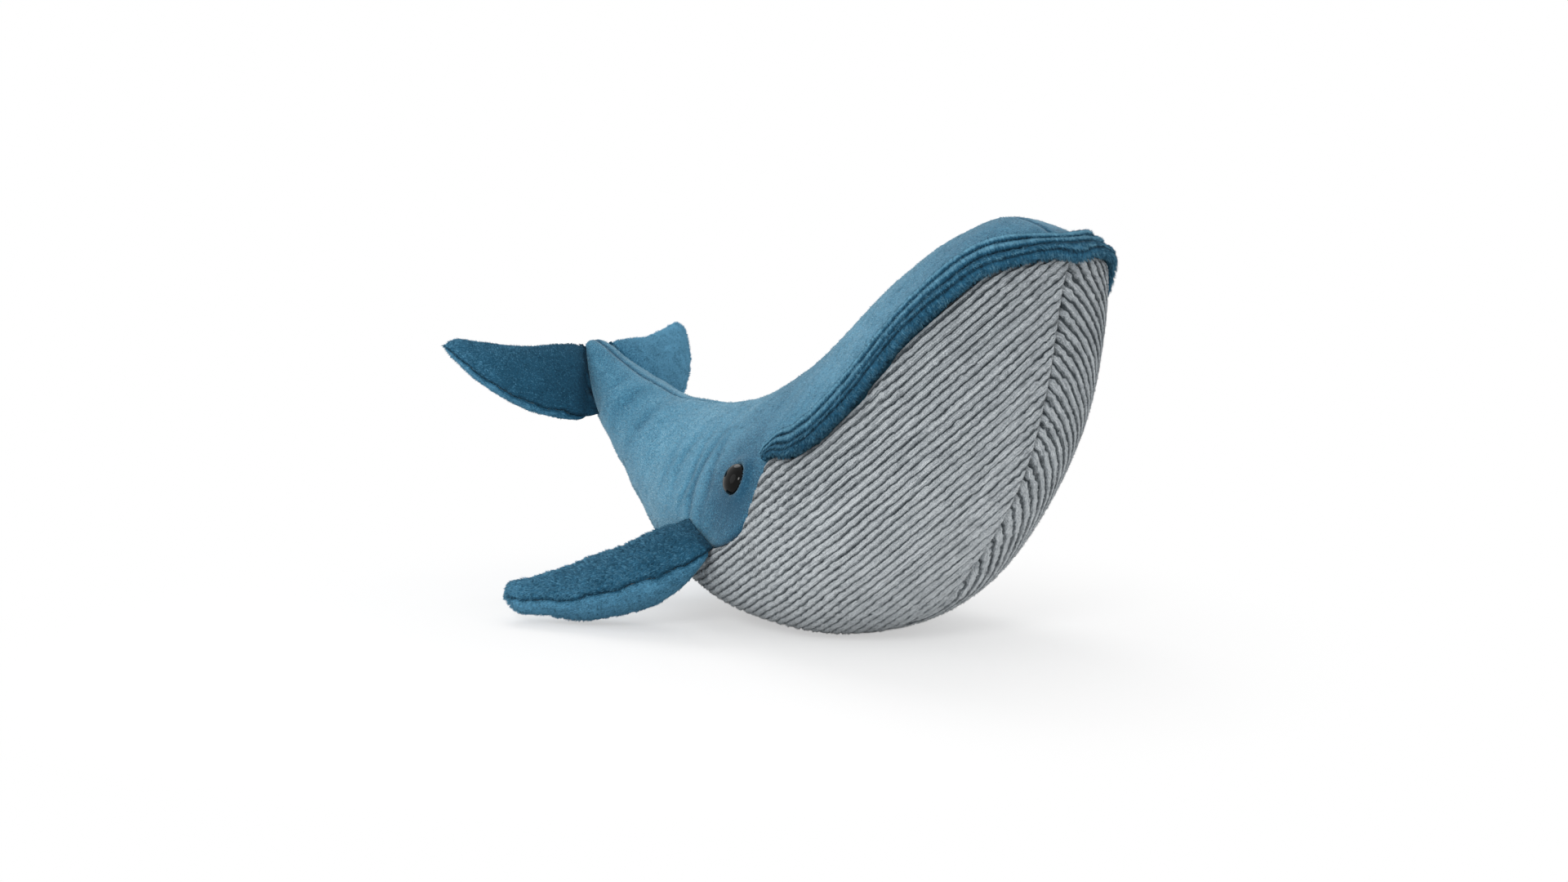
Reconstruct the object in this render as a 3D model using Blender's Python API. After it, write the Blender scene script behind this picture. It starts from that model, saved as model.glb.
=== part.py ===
"""Plush whale lying on its belly with its head raised.

The toy is modelled as it is sewn: a blue plush back and a grey corduroy belly, each in
two halves, three padded lip rolls, two flippers and two tail flukes of an upper and a
lower panel each, safety eyes held by washers, and the filling inside.

The whale faces -Y, +Z is up and its left side is at +X. All lengths are in metres. The
origin is on the floor, under the middle of the whole toy.
"""

import math
from dataclasses import dataclass

import bmesh
import bpy
from mathutils import Vector
from mathutils.bvhtree import BVHTree

# --- Body: the long stuffed form from the tail stock to the snout ---
BODY_LENGTH = 0.408
BODY_HEIGHT = 0.240
BODY_WIDTH = 0.168
FLAT_DEPTH = 0.0005        # how deep the floor flattens the lowest point of the belly

# --- Cloth and the room left between the pieces ---
PLUSH_THICKNESS = 0.003
CORD_THICKNESS = 0.003
LIMB_CLOTH_THICKNESS = 0.0024
SEAM_GAP = 0.0003
LIMB_EDGE_GAP = 0.0006     # between the two panels of a limb
FILL_GAP = 0.0011          # with room for the flat facets of the cloth
MERGE_DISTANCE = 0.00001   # points closer than this are one point
THIN_END_SHARE = 0.45      # most of a slim end's half thickness that its cloth takes

# --- Lip rolls ---
ROLL_WIDTH = 0.0074
ROLL_HEIGHT = 0.0058
ROLL_EDGE = 0.0029         # from the belly seam to the middle of the outer roll
ROLL_GAP = 0.0006          # under the rolls, where the head curves away from them
ROLL_SIDES = 8
ROLL_STEPS = 24            # places along the mouth from a corner to the snout
ROLL_WALK_STEPS = 12       # steps in which the skin is followed to a roll
# The outer, the middle and the inner roll's shares of the width and the height.
ROLL_ORDER_SHARES = (1.20, 0.95, 0.85)
# How full the rolls are from a mouth corner (0) to the snout (1).
ROLL_GROWTH_SHARES = ((0.00, 0.38), (0.05, 0.62), (0.12, 0.84), (0.24, 1.00), (0.60, 1.00), (1.00, 0.68))

# --- Flippers ---
FLIPPER_LENGTH = 0.122
FLIPPER_CHORD = 0.048
FLIPPER_THICKNESS = 0.0385
FLIPPER_WELT_RADIUS = 0.0020
FLIPPER_EDGE_SHARE = 0.10  # how far above its leading edge the panels meet

# --- Tail flukes ---
FLUKE_LENGTH = 0.092
FLUKE_CHORD = 0.060
FLUKE_THICKNESS = 0.021
FLUKE_WELT_RADIUS = 0.0016
FLUKE_EDGE_SHARE = 0.14

# --- Eyes ---
EYE_DIAMETER = 0.018
EYE_DOME_HEIGHT = 0.0062
EYE_RIM = 0.0010
EYE_SEAT_DEPTH = 0.0012
SHAFT_DIAMETER = 0.0046
SHAFT_LENGTH = 0.0120
WASHER_DIAMETER = 0.0160
WASHER_THICKNESS = 0.0015
WASHER_DEPTH = 0.0010      # from the inner face of the plush to the washer

# --- Pellet pouch in the bottom of the belly ---
POUCH_LENGTH = 0.086
POUCH_WIDTH = 0.076
POUCH_HEIGHT = 0.044
POUCH_FORWARD = -0.004     # its middle, ahead of the middle of the resting place

# The rows of the body run from the end of the tail stock to the tip of the snout. Each
# has the shares of BODY_LENGTH and BODY_HEIGHT of its point on the back seam and of its
# point on the belly seam, both counted forward and up from the resting place, the share
# of half the BODY_WIDTH that it reaches to the side, how far down from the back seam it
# is widest, and the roundness of its upper and its lower half (2 is an ellipse).
BODY_ROW_SHARES = (
    (-0.598, 0.617, -0.598, 0.617, 0.000, 0.50, 2.00, 2.00),
    (-0.591, 0.622, -0.600, 0.600, 0.085, 0.50, 2.20, 2.00),
    (-0.569, 0.611, -0.600, 0.537, 0.142, 0.50, 2.50, 2.00),
    (-0.525, 0.577, -0.571, 0.433, 0.216, 0.50, 2.50, 2.00),
    (-0.466, 0.537, -0.515, 0.350, 0.292, 0.50, 2.35, 2.00),
    (-0.387, 0.504, -0.436, 0.226, 0.408, 0.50, 2.10, 2.00),
    (-0.294, 0.500, -0.328, 0.105, 0.600, 0.55, 1.90, 2.10),
    (-0.201, 0.525, -0.201, 0.029, 0.800, 0.58, 1.75, 2.20),
    (-0.103, 0.594, -0.088, 0.002, 0.938, 0.61, 1.65, 2.35),
    (-0.010, 0.699, 0.042, 0.003, 1.000, 0.62, 1.55, 2.25),
    (0.069, 0.812, 0.160, 0.087, 1.000, 0.60, 1.50, 2.02),
    (0.147, 0.905, 0.250, 0.245, 0.940, 0.56, 1.50, 1.98),
    (0.221, 0.967, 0.315, 0.417, 0.840, 0.50, 1.50, 2.00),
    (0.284, 0.996, 0.351, 0.592, 0.700, 0.46, 1.60, 2.00),
    (0.334, 0.981, 0.370, 0.750, 0.545, 0.44, 1.70, 2.00),
    (0.368, 0.946, 0.379, 0.842, 0.375, 0.46, 1.80, 2.00),
    (0.388, 0.925, 0.389, 0.897, 0.170, 0.50, 2.00, 2.00),
    (0.392, 0.913, 0.392, 0.913, 0.000, 0.50, 2.00, 2.00),
)

# The seam between the plush back and the corduroy belly. Each place is a row number of
# the table above and the share of the way round from the back seam to the belly seam.
BORDER_SHARES = (
    (6.10, 1.000), (6.25, 0.860), (6.50, 0.720), (6.80, 0.622), (7.10, 0.567),
    (7.50, 0.539), (8.00, 0.528), (8.40, 0.506), (8.60, 0.483), (8.75, 0.444),
    (8.85, 0.389), (8.95, 0.339), (9.20, 0.347), (9.55, 0.372), (10.10, 0.394),
    (10.70, 0.411), (11.10, 0.420), (11.70, 0.426), (12.10, 0.434), (12.60, 0.457),
    (13.15, 0.480), (13.60, 0.492), (14.20, 0.495), (14.90, 0.484), (15.50, 0.476),
    (16.00, 0.515), (16.45, 0.640), (16.82, 1.000),
)
MOUTH_CORNER_ROW = 8.95

# Rows of the mesh: the tail, then the places of the seam, then the snout.
TAIL_ROWS = (0.0, 0.4, 1.0, 1.5, 2.0, 2.5, 3.0, 3.5, 4.0, 4.5, 5.0, 5.5)
EXTRA_ROWS = (9.85, 10.40, 11.40)
SNOUT_ROWS = (16.88, 16.94, 17.0)
BELLY_END_ROW_STEP = 0.03  # the belly panel's points start this far inside the seam
BACK_COLUMNS = 11
BELLY_COLUMNS = 8
FILL_COLUMNS = 28
SKIN_COLUMNS = 48           # of the form on which the lip rolls are laid
ROWS_PER_STEP = 4
BLEND_STEP = 0.02          # row step for slopes

# Where each lump of the filling begins and ends, in rows.
FILL_LUMPS = (
    ("stuffing_tail", 1.3, 5.987),
    ("stuffing_body", 6.0, 10.487),
    ("stuffing_head", 10.5, 15.7),
)

EYE_PLACE_SHARES = (8.32, 0.360)
FLIPPER_SEAM_SHARES = ((8.08, 0.528), (7.72, 0.490), (7.36, 0.456))
FLUKE_SEAM_SHARES = ((3.70, 0.640), (2.40, 0.505), (1.15, 0.340))
FLIPPER_SWEEP = math.radians(59.0)
FLIPPER_DROOP = math.radians(19.0)
FLIPPER_ROLL = math.radians(22.0)
FLUKE_SWEEP = math.radians(29.7)
FLUKE_DROOP = math.radians(-15.5)
FLUKE_ROLL = math.radians(52.0)

# The rows of a limb from near the seam to the tip: where its leading edge and its
# trailing edge lie along the limb (shares of the length) and across it (shares of half
# the chord), how far both hang below the straight line (shares of the length) and the
# share of half the thickness.
FLIPPER_ROW_SHARES = (
    (-0.070, 0.700, 0.145, -0.650, 0.016, 0.38),
    (-0.010, 0.830, 0.205, -0.730, 0.042, 0.65),
    (0.088, 0.950, 0.290, -0.870, 0.081, 0.87),
    (0.246, 1.000, 0.426, -0.960, 0.112, 0.97),
    (0.451, 0.960, 0.590, -0.920, 0.117, 0.98),
    (0.656, 0.840, 0.738, -0.780, 0.106, 0.84),
    (0.836, 0.620, 0.869, -0.550, 0.064, 0.64),
    (0.951, 0.330, 0.959, -0.300, 0.028, 0.42),
    (1.000, 0.010, 1.000, 0.010, 0.016, 0.00),
)
FLUKE_ROW_SHARES = (
    (-0.052, 0.900, 0.080, -0.840, 0.000, 0.38),
    (0.005, 1.010, 0.125, -0.820, 0.000, 0.74),
    (0.130, 1.090, 0.215, -0.720, 0.000, 0.96),
    (0.313, 1.120, 0.344, -0.570, 0.000, 1.02),
    (0.521, 0.975, 0.521, -0.400, 0.000, 0.96),
    (0.708, 0.730, 0.688, -0.310, 0.000, 0.81),
    (0.854, 0.450, 0.833, -0.260, 0.000, 0.62),
    (0.953, 0.240, 0.938, -0.190, 0.000, 0.42),
    (1.000, 0.060, 1.000, 0.060, 0.000, 0.00),
)
TWIST_SHARE = 0.35          # how far along a limb the slant of its root seam dies out
EDGE_ROWS = (1.0, 4.0)      # between these rows the panels' seam leaves the leading edge
LIMB_ROWS = (0.0, 1.0, 2.0, 3.0, 4.0, 4.6, 5.2, 6.0, 7.0, 8.0, 9.0, 9.6, 10.0)
LIMB_FILL_ROWS = (3.0, 4.0, 4.6, 5.2, 6.0, 7.0, 8.0, 9.0)
LIMB_COLUMNS = 8

# Colours: linear red, green, blue, then roughness.
PLUSH_BLUE = (0.118, 0.288, 0.429, 0.92)
PLUSH_DEEP_BLUE = (0.042, 0.158, 0.246, 0.92)
CORD_GREY = (0.386, 0.423, 0.445, 0.90)
FILL_WHITE = (0.80, 0.80, 0.78, 0.95)
POUCH_CLOTH = (0.55, 0.53, 0.48, 0.90)
EYE_BLACK = (0.012, 0.010, 0.009, 0.08)
WASHER_WHITE = (0.72, 0.72, 0.70, 0.45)


def spline(rows, place):
    """Read a table at a fractional row, on a smooth curve through its rows."""
    last = len(rows) - 1
    index = min(max(math.floor(place), 0), last - 1)
    t = place - index
    before = rows[index - 1] if index > 0 else [2 * a - b for a, b in zip(rows[0], rows[1])]
    after = rows[index + 2] if index + 2 <= last else [2 * a - b for a, b in zip(rows[last], rows[last - 1])]
    values = []
    for p0, p1, p2, p3 in zip(before, rows[index], rows[index + 1], after):
        bend = (2 * p0 - 5 * p1 + 4 * p2 - p3) * t + (3 * p1 - p0 - 3 * p2 + p3) * t * t
        values.append(p1 + 0.5 * t * (p2 - p0 + bend))
    return values


def straight(rows, place):
    """Read a table of pairs at a place, in straight steps between its rows."""
    for (a, value_a), (b, value_b) in zip(rows, rows[1:]):
        if place <= b:
            return value_a + (value_b - value_a) * max(place - a, 0) / (b - a)
    return rows[-1][1]


class Body:
    """The outer surface of the stuffed body, given by its rows."""

    def __init__(self):
        self.last = len(BODY_ROW_SHARES) - 1
        self.floor = 0.0
        steps = [6 + i * BLEND_STEP for i in range(int(5 / BLEND_STEP))]
        self.floor = min(self.point(row, 1.0).z for row in steps) + FLAT_DEPTH

    def ring(self, row):
        """Return the back point, the belly point and the half width of a row."""
        top_f, top_z, low_f, low_z, wide, middle, upper, lower = spline(BODY_ROW_SHARES, row)
        top = Vector((0, -top_f * BODY_LENGTH, top_z * BODY_HEIGHT - self.floor))
        low = Vector((0, -low_f * BODY_LENGTH, low_z * BODY_HEIGHT - self.floor))
        return top, low, max(wide, 0) * BODY_WIDTH / 2, middle, upper, lower

    def point(self, row, share):
        """Point at a row and a share of the way round from the back to the belly."""
        top, low, half_width, middle, upper, lower = self.ring(row)
        widest = top.lerp(low, middle)
        angle = math.pi * share
        sine, cosine = math.sin(angle), math.cos(angle)
        power = upper if cosine > 0 else lower
        reach = (top if cosine > 0 else low) - widest
        spot = widest + reach * abs(cosine) ** (2 / power)
        spot.x = half_width * math.copysign(abs(sine) ** (2 / power), sine)
        return spot

    def normal(self, row, share):
        """Outward direction of the surface."""
        if row <= BLEND_STEP or row >= self.last - BLEND_STEP:
            inner = self.ring(min(max(row, 1), self.last - 1))
            return (self.point(row, 0) - inner[0].lerp(inner[1], inner[3])).normalized()
        along = self.point(row + BLEND_STEP, share) - self.point(row - BLEND_STEP, share)
        round_ = self.point(row, share + BLEND_STEP / 4) - self.point(row, share - BLEND_STEP / 4)
        return along.cross(round_).normalized()

    def cloth(self, row, thickness):
        """Thickness of the cloth, drawn in where the ends grow too slim for it."""
        top, low, half_width, *_ = self.ring(row)
        room = min(half_width, (top - low).length / 2)
        return max(min(thickness, room * THIN_END_SHARE), SEAM_GAP)

    def seam_shift(self, row, share):
        """Share of the way round that half a seam gap takes on the border."""
        low = straight(BORDER_SHARES, row - BLEND_STEP)
        high = straight(BORDER_SHARES, row + BLEND_STEP)
        step = self.point(row + BLEND_STEP, share) - self.point(row - BLEND_STEP, share)
        round_ = (self.point(row, share + BLEND_STEP / 4) - self.point(row, share - BLEND_STEP / 4)) * 2 / BLEND_STEP
        slope = (high - low) * round_.length / step.length
        return SEAM_GAP * 0.7 * math.sqrt(1 + slope * slope) / round_.length


BODY = Body()


def sided(point, side):
    """Keep a point on its own side of the centre seam, and mirror it for the right side."""
    return Vector((side * max(point.x, SEAM_GAP / 2), point.y, point.z))


def close_shell(outer, inner):
    """Join two grids of points of the same size into one closed sheet of cloth."""
    mesh = bmesh.new()
    rows, columns = len(outer), len(outer[0])
    front = [[mesh.verts.new(p) for p in line] for line in outer]
    back = [[mesh.verts.new(p) for p in line] for line in inner]
    for i in range(rows - 1):
        for j in range(columns - 1):
            mesh.faces.new((front[i][j], front[i + 1][j], front[i + 1][j + 1], front[i][j + 1]))
            mesh.faces.new((back[i][j], back[i][j + 1], back[i + 1][j + 1], back[i + 1][j]))
    for i in range(rows - 1):
        for j in (0, columns - 1):
            mesh.faces.new((front[i][j], back[i][j], back[i + 1][j], front[i + 1][j]))
    for j in range(columns - 1):
        for i in (0, rows - 1):
            mesh.faces.new((front[i][j], front[i][j + 1], back[i][j + 1], back[i][j]))
    return mesh


def close_loft(rings):
    """Join closed rings into one solid, with a fan of faces over each end."""
    mesh = bmesh.new()
    lines = [[mesh.verts.new(p) for p in ring] for ring in rings]
    count = len(rings[0])
    for line, following in zip(lines, lines[1:]):
        for j in range(count):
            k = (j + 1) % count
            mesh.faces.new((line[j], line[k], following[k], following[j]))
    for line in (lines[0], lines[-1]):
        middle = mesh.verts.new(sum((v.co for v in line), Vector()) / count)
        for j in range(count):
            mesh.faces.new((line[j], line[(j + 1) % count], middle))
    return mesh


def turned(profile, segments):
    """Turn a profile of (radius, height) pairs round the local Z axis."""
    rings = [[Vector((radius * math.cos(2 * math.pi * j / segments),
                      radius * math.sin(2 * math.pi * j / segments), height))
              for j in range(segments)] for radius, height in profile]
    return close_loft(rings)


def clean(mesh):
    """Merge the points that coincide, make triangles and turn all faces outwards."""
    bmesh.ops.remove_doubles(mesh, verts=mesh.verts[:], dist=MERGE_DISTANCE)
    bmesh.ops.dissolve_degenerate(mesh, edges=mesh.edges[:], dist=MERGE_DISTANCE)
    bmesh.ops.triangulate(mesh, faces=mesh.faces[:], quad_method="FIXED")
    bmesh.ops.recalc_face_normals(mesh, faces=mesh.faces[:])


def material(name, finish):
    """Make or find a material of a colour and a roughness."""
    found = bpy.data.materials.get(name)
    if found:
        return found
    made = bpy.data.materials.new(name)
    made.use_nodes = True
    shader = made.node_tree.nodes["Principled BSDF"]
    shader.inputs["Base Color"].default_value = (*finish[:3], 1)
    shader.inputs["Roughness"].default_value = finish[3]
    shader.inputs["Metallic"].default_value = 0
    made.diffuse_color = (*finish[:3], 1)
    return made


def add_object(name, mesh, finish, parent, origin=None):
    """Turn a bmesh in world places into a named object with its origin where asked."""
    origin = origin or Vector()
    clean(mesh)
    bmesh.ops.translate(mesh, verts=mesh.verts[:], vec=-origin)
    data = bpy.data.meshes.new(name)
    mesh.to_mesh(data)
    mesh.free()
    data.shade_smooth()
    data.set_sharp_from_angle(angle=math.radians(50))
    obj = bpy.data.objects.new(name, data)
    obj.data.materials.append(material(name + "_finish", finish))
    bpy.context.scene.collection.objects.link(obj)
    obj.parent = parent
    obj.location = origin - parent.location
    return obj


def add_cutter(name, mesh, parent):
    """A guide solid that is only used to cut others."""
    cutter = add_object(name, mesh, FILL_WHITE, parent)
    cutter.hide_render = True
    cutter.display_type = "WIRE"
    return cutter


def cut(obj, cutter, operation="DIFFERENCE"):
    """Cut one object with another."""
    modifier = obj.modifiers.new(cutter.name, "BOOLEAN")
    modifier.operation = operation
    modifier.solver = "EXACT"
    modifier.object = cutter


def add_empty(name, location, parent=None):
    """An empty that carries pieces."""
    empty = bpy.data.objects.new(name, None)
    bpy.context.scene.collection.objects.link(empty)
    empty.parent = parent
    empty.location = location
    return empty


def panel(rows, columns, share_range, side, thickness):
    """One sheet of cloth over a stretch of the body, on one side of it."""
    outer, inner = [], []
    for row in rows:
        first, last = share_range(row)
        spots = [first + (last - first) * j / columns for j in range(columns + 1)]
        depth = BODY.cloth(row, thickness)
        outer.append([sided(BODY.point(row, s), side) for s in spots])
        inner.append([sided(BODY.point(row, s) - BODY.normal(row, s) * depth, side) for s in spots])
    return close_shell(outer, inner)


def back_share(row):
    """Stretch of a row that the plush covers."""
    if row <= BORDER_SHARES[0][0] - BLEND_STEP or row >= BORDER_SHARES[-1][0] + BLEND_STEP:
        return 0.0, 1.0
    border = straight(BORDER_SHARES, row)
    return 0.0, border - BODY.seam_shift(row, border)


def belly_share(row):
    """Stretch of a row that the corduroy covers."""
    border = straight(BORDER_SHARES, row)
    return min(border + BODY.seam_shift(row, border), 1.0), 1.0


def back_rows():
    """The rows of the back, in order from the tail to the snout."""
    return sorted([*TAIL_ROWS, *(row for row, _ in BORDER_SHARES), *EXTRA_ROWS, *SNOUT_ROWS])


def add_body_panels(whale):
    """The plush back and the corduroy belly, in two halves each."""
    seam_rows = [row for row, _ in BORDER_SHARES]
    belly_rows = sorted([*seam_rows[1:-1], *EXTRA_ROWS,
                         seam_rows[0] + BELLY_END_ROW_STEP, seam_rows[-1] - BELLY_END_ROW_STEP])
    panels = {}
    for side, word in ((1, "left"), (-1, "right")):
        back = panel(back_rows(), BACK_COLUMNS, back_share, side, PLUSH_THICKNESS)
        panels["back", side] = add_object("back_" + word, back, PLUSH_BLUE, whale)
        belly = panel(belly_rows, BELLY_COLUMNS, belly_share, side, CORD_THICKNESS)
        clean(belly)
        level = bmesh.ops.bisect_plane(belly, geom=belly.verts[:] + belly.edges[:] + belly.faces[:],
                                       plane_co=(0, 0, 0), plane_no=(0, 0, -1), clear_outer=True)
        rim = [g for g in level["geom_cut"] if isinstance(g, bmesh.types.BMEdge)]
        bmesh.ops.holes_fill(belly, edges=rim)
        panels["belly", side] = add_object("belly_" + word, belly, CORD_GREY, whale)
    return panels


def whole_ring(row, columns, depth=0):
    """A row of points all the way round the body, at a depth under its surface."""
    ring = []
    for j in range(columns):
        share = 2 * j / columns
        share = share if share <= 1 else share - 2
        spot = BODY.point(row, abs(share)) - BODY.normal(row, abs(share)) * depth
        spot.x = math.copysign(max(spot.x, 0), share)
        ring.append(spot)
    return ring


def fill_lump(first, last):
    """A stretch of the filling, inside the cloth and with its rows under those of the cloth."""
    cloth = max(PLUSH_THICKNESS, CORD_THICKNESS)
    rows = [first, *(row for row in back_rows() if first < row < last), last]
    return close_loft([whole_ring(row, FILL_COLUMNS, BODY.cloth(row, cloth) + FILL_GAP) for row in rows])


def ellipsoid(middle, length, width, height):
    """A rounded lump, as a guide for the pouch and for its bed."""
    mesh = bmesh.new()
    bmesh.ops.create_uvsphere(mesh, u_segments=24, v_segments=12, radius=0.5)
    bmesh.ops.scale(mesh, vec=(width, length, height), verts=mesh.verts[:])
    bmesh.ops.translate(mesh, vec=middle, verts=mesh.verts[:])
    return mesh


def add_filling(whale):
    """The three lumps of filling and the pellet pouch in its bed under the body lump."""
    lumps = {name: add_object(name, fill_lump(first, last), FILL_WHITE, whale)
             for name, first, last in FILL_LUMPS}
    low = CORD_THICKNESS + FILL_GAP
    middle = Vector((0, -POUCH_FORWARD, low))
    pouch_guide = add_cutter("pouch_guide", ellipsoid(middle, POUCH_LENGTH, POUCH_WIDTH, POUCH_HEIGHT), whale)
    room = 2 * SEAM_GAP
    bed = ellipsoid(middle, POUCH_LENGTH + room, POUCH_WIDTH + room, POUCH_HEIGHT + room)
    bed_guide = add_cutter("pouch_bed_guide", bed, whale)
    pouch = add_object("pellet_pouch", fill_lump(*FILL_LUMPS[1][1:]), POUCH_CLOTH, whale)
    cut(pouch, pouch_guide, "INTERSECT")
    cut(lumps["stuffing_body"], bed_guide)
    return lumps


def placed(mesh, origin, outward):
    """Stand a turned mesh on a point of the surface."""
    turn = outward.to_track_quat("Z", "Y").to_matrix().to_4x4()
    bmesh.ops.transform(mesh, matrix=turn, verts=mesh.verts[:])
    bmesh.ops.translate(mesh, vec=origin, verts=mesh.verts[:])
    return mesh


def add_eyes(whale, panels, lumps):
    """Safety eyes: a dome with a shaft through the plush, and its washer inside."""
    row, share = EYE_PLACE_SHARES
    rim, shaft, washer = EYE_DIAMETER / 2, SHAFT_DIAMETER / 2, WASHER_DIAMETER / 2
    seat = -EYE_SEAT_DEPTH
    dome = [(rim * math.cos(a), seat + EYE_RIM + (EYE_DOME_HEIGHT - EYE_RIM) * math.sin(a))
            for a in (math.radians(d) for d in (85, 66, 44, 22, 0))]
    shaft_end = seat - SHAFT_LENGTH
    washer_top = -PLUSH_THICKNESS - WASHER_DEPTH
    washer_end = washer_top - WASHER_THICKNESS
    hole = shaft + SEAM_GAP
    for side, word in ((1, "left"), (-1, "right")):
        spot, out = BODY.point(row, share), BODY.normal(row, share)
        spot.x, out.x = side * spot.x, side * out.x
        eye = [*dome, (rim, seat), (shaft, seat), (shaft, shaft_end)]
        add_object("eye_" + word, placed(turned(eye, 20), spot, out), EYE_BLACK, whale)
        ring = bmesh.new()
        inner = bmesh.ops.create_circle(ring, radius=hole, segments=20)["verts"]
        outer = bmesh.ops.create_circle(ring, radius=washer, segments=20)["verts"]
        edges = [e for e in ring.edges]
        bmesh.ops.bridge_loops(ring, edges=edges)
        grown = bmesh.ops.extrude_face_region(ring, geom=ring.faces[:])
        lifted = [g for g in grown["geom"] if isinstance(g, bmesh.types.BMVert)]
        bmesh.ops.translate(ring, vec=(0, 0, WASHER_THICKNESS), verts=lifted)
        bmesh.ops.translate(ring, vec=(0, 0, washer_end), verts=ring.verts[:])
        add_object("eye_washer_" + word, placed(ring, spot, out), WASHER_WHITE, whale)
        seat_hole = [(rim + SEAM_GAP, EYE_DOME_HEIGHT), (rim + SEAM_GAP, seat - SEAM_GAP),
                     (hole, seat - SEAM_GAP), (hole, washer_end)]
        socket = add_cutter("eye_seat_guide_" + word, placed(turned(seat_hole, 20), spot, out), whale)
        cut(panels["back", side], socket)
        pocket_profile = [(washer + SEAM_GAP, 0), (washer + SEAM_GAP, washer_end - SEAM_GAP),
                          (hole, washer_end - SEAM_GAP), (hole, shaft_end - SEAM_GAP)]
        pocket = add_cutter("eye_pocket_guide_" + word, placed(turned(pocket_profile, 20), spot, out), whale)
        cut(lumps["stuffing_body"], pocket)


def add_lip_rolls(whale):
    """Three padded rolls side by side along the mouth, from corner to corner."""
    form = close_loft([whole_ring(row / ROWS_PER_STEP, SKIN_COLUMNS)
                       for row in range(ROWS_PER_STEP * BODY.last + 1)])
    bmesh.ops.recalc_face_normals(form, faces=form.faces[:])
    skin = BVHTree.FromBMesh(form)
    form.free()
    places = [row for row, _ in BORDER_SHARES if row >= MOUTH_CORNER_ROW]
    half = [BODY.point(row, straight(BORDER_SHARES, row)) for row in places]
    half = resampled(half, ROLL_STEPS)
    half[-1].x = 0
    edge = [Vector((-p.x, p.y, p.z)) for p in half] + [p.copy() for p in reversed(half[:-1])]
    count = len(edge)
    lines = [roll_line(skin, edge, order) for order in range(3)]
    for order, name in enumerate(("lip_roll_outer", "lip_roll_middle", "lip_roll_inner")):
        rings = []
        for i, (middle, up, half_height) in enumerate(lines[order]):
            tangent = (lines[order][min(i + 1, count - 1)][0] - lines[order][max(i - 1, 0)][0]).normalized()
            up = (up - tangent * up.dot(tangent)).normalized()
            across = tangent.cross(up)
            to_outer, to_inner = ((lines[1][i][0] - lines[k][i][0]).length - SEAM_GAP for k in (0, 2))
            shares = ROLL_ORDER_SHARES
            middle_half = min(to_outer * shares[1] / (shares[0] + shares[1]),
                              to_inner * shares[1] / (shares[1] + shares[2]))
            half_width = (to_outer - middle_half, middle_half, to_inner - middle_half)[order]
            rings.append([middle + across * half_width * math.cos(2 * math.pi * j / ROLL_SIDES)
                          + up * half_height * math.sin(2 * math.pi * j / ROLL_SIDES)
                          for j in range(ROLL_SIDES)])
        add_object(name, close_loft(rings), PLUSH_DEEP_BLUE, whale)


def roll_line(skin, edge, order):
    """Middle, upward direction and half height of a roll at each place along the mouth."""
    count = len(edge)
    widths = [ROLL_WIDTH * share for share in ROLL_ORDER_SHARES]
    reach = ROLL_EDGE + sum(widths[:order]) + (widths[order] - widths[0]) / 2 + order * SEAM_GAP
    line = []
    for i, start in enumerate(edge):
        grown = straight(ROLL_GROWTH_SHARES, 2 * min(i, count - 1 - i) / (count - 1))
        tangent = (edge[min(i + 1, count - 1)] - edge[max(i - 1, 0)]).normalized()
        foot, up = walk(skin, start, tangent, reach * grown)
        half_height = ROLL_HEIGHT / 2 * ROLL_ORDER_SHARES[order] * grown
        line.append((foot + up * (half_height + ROLL_GAP), up, half_height))
    return line


def resampled(points, count):
    """Even places along a line through points."""
    lengths = [0.0]
    for a, b in zip(points, points[1:]):
        lengths.append(lengths[-1] + (b - a).length)
    made = []
    for i in range(count):
        goal = lengths[-1] * i / (count - 1)
        k = max(j for j in range(len(points) - 1) if lengths[j] <= goal + SEAM_GAP or j == 0)
        t = (goal - lengths[k]) / (lengths[k + 1] - lengths[k])
        made.append(points[k].lerp(points[k + 1], min(max(t, 0), 1)))
    return made


def walk(skin, start, tangent, distance):
    """Walk over the skin, square to a line on it and towards the crown of the head."""
    spot, up, *_ = skin.find_nearest(start)
    across = up.cross(tangent).normalized()
    for _ in range(ROLL_WALK_STEPS):
        spot, up, *_ = skin.find_nearest(spot + across * distance / ROLL_WALK_STEPS)
        across = (across - up * across.dot(up)).normalized()
    return spot, up


@dataclass(frozen=True)
class LimbShape:
    """Sizes of a flipper or a fluke."""

    name: str
    length: float
    chord: float
    thickness: float
    welt_radius: float
    edge_share: float
    seam_shares: tuple
    row_shares: tuple
    sweep: float
    droop: float
    roll: float


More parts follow.
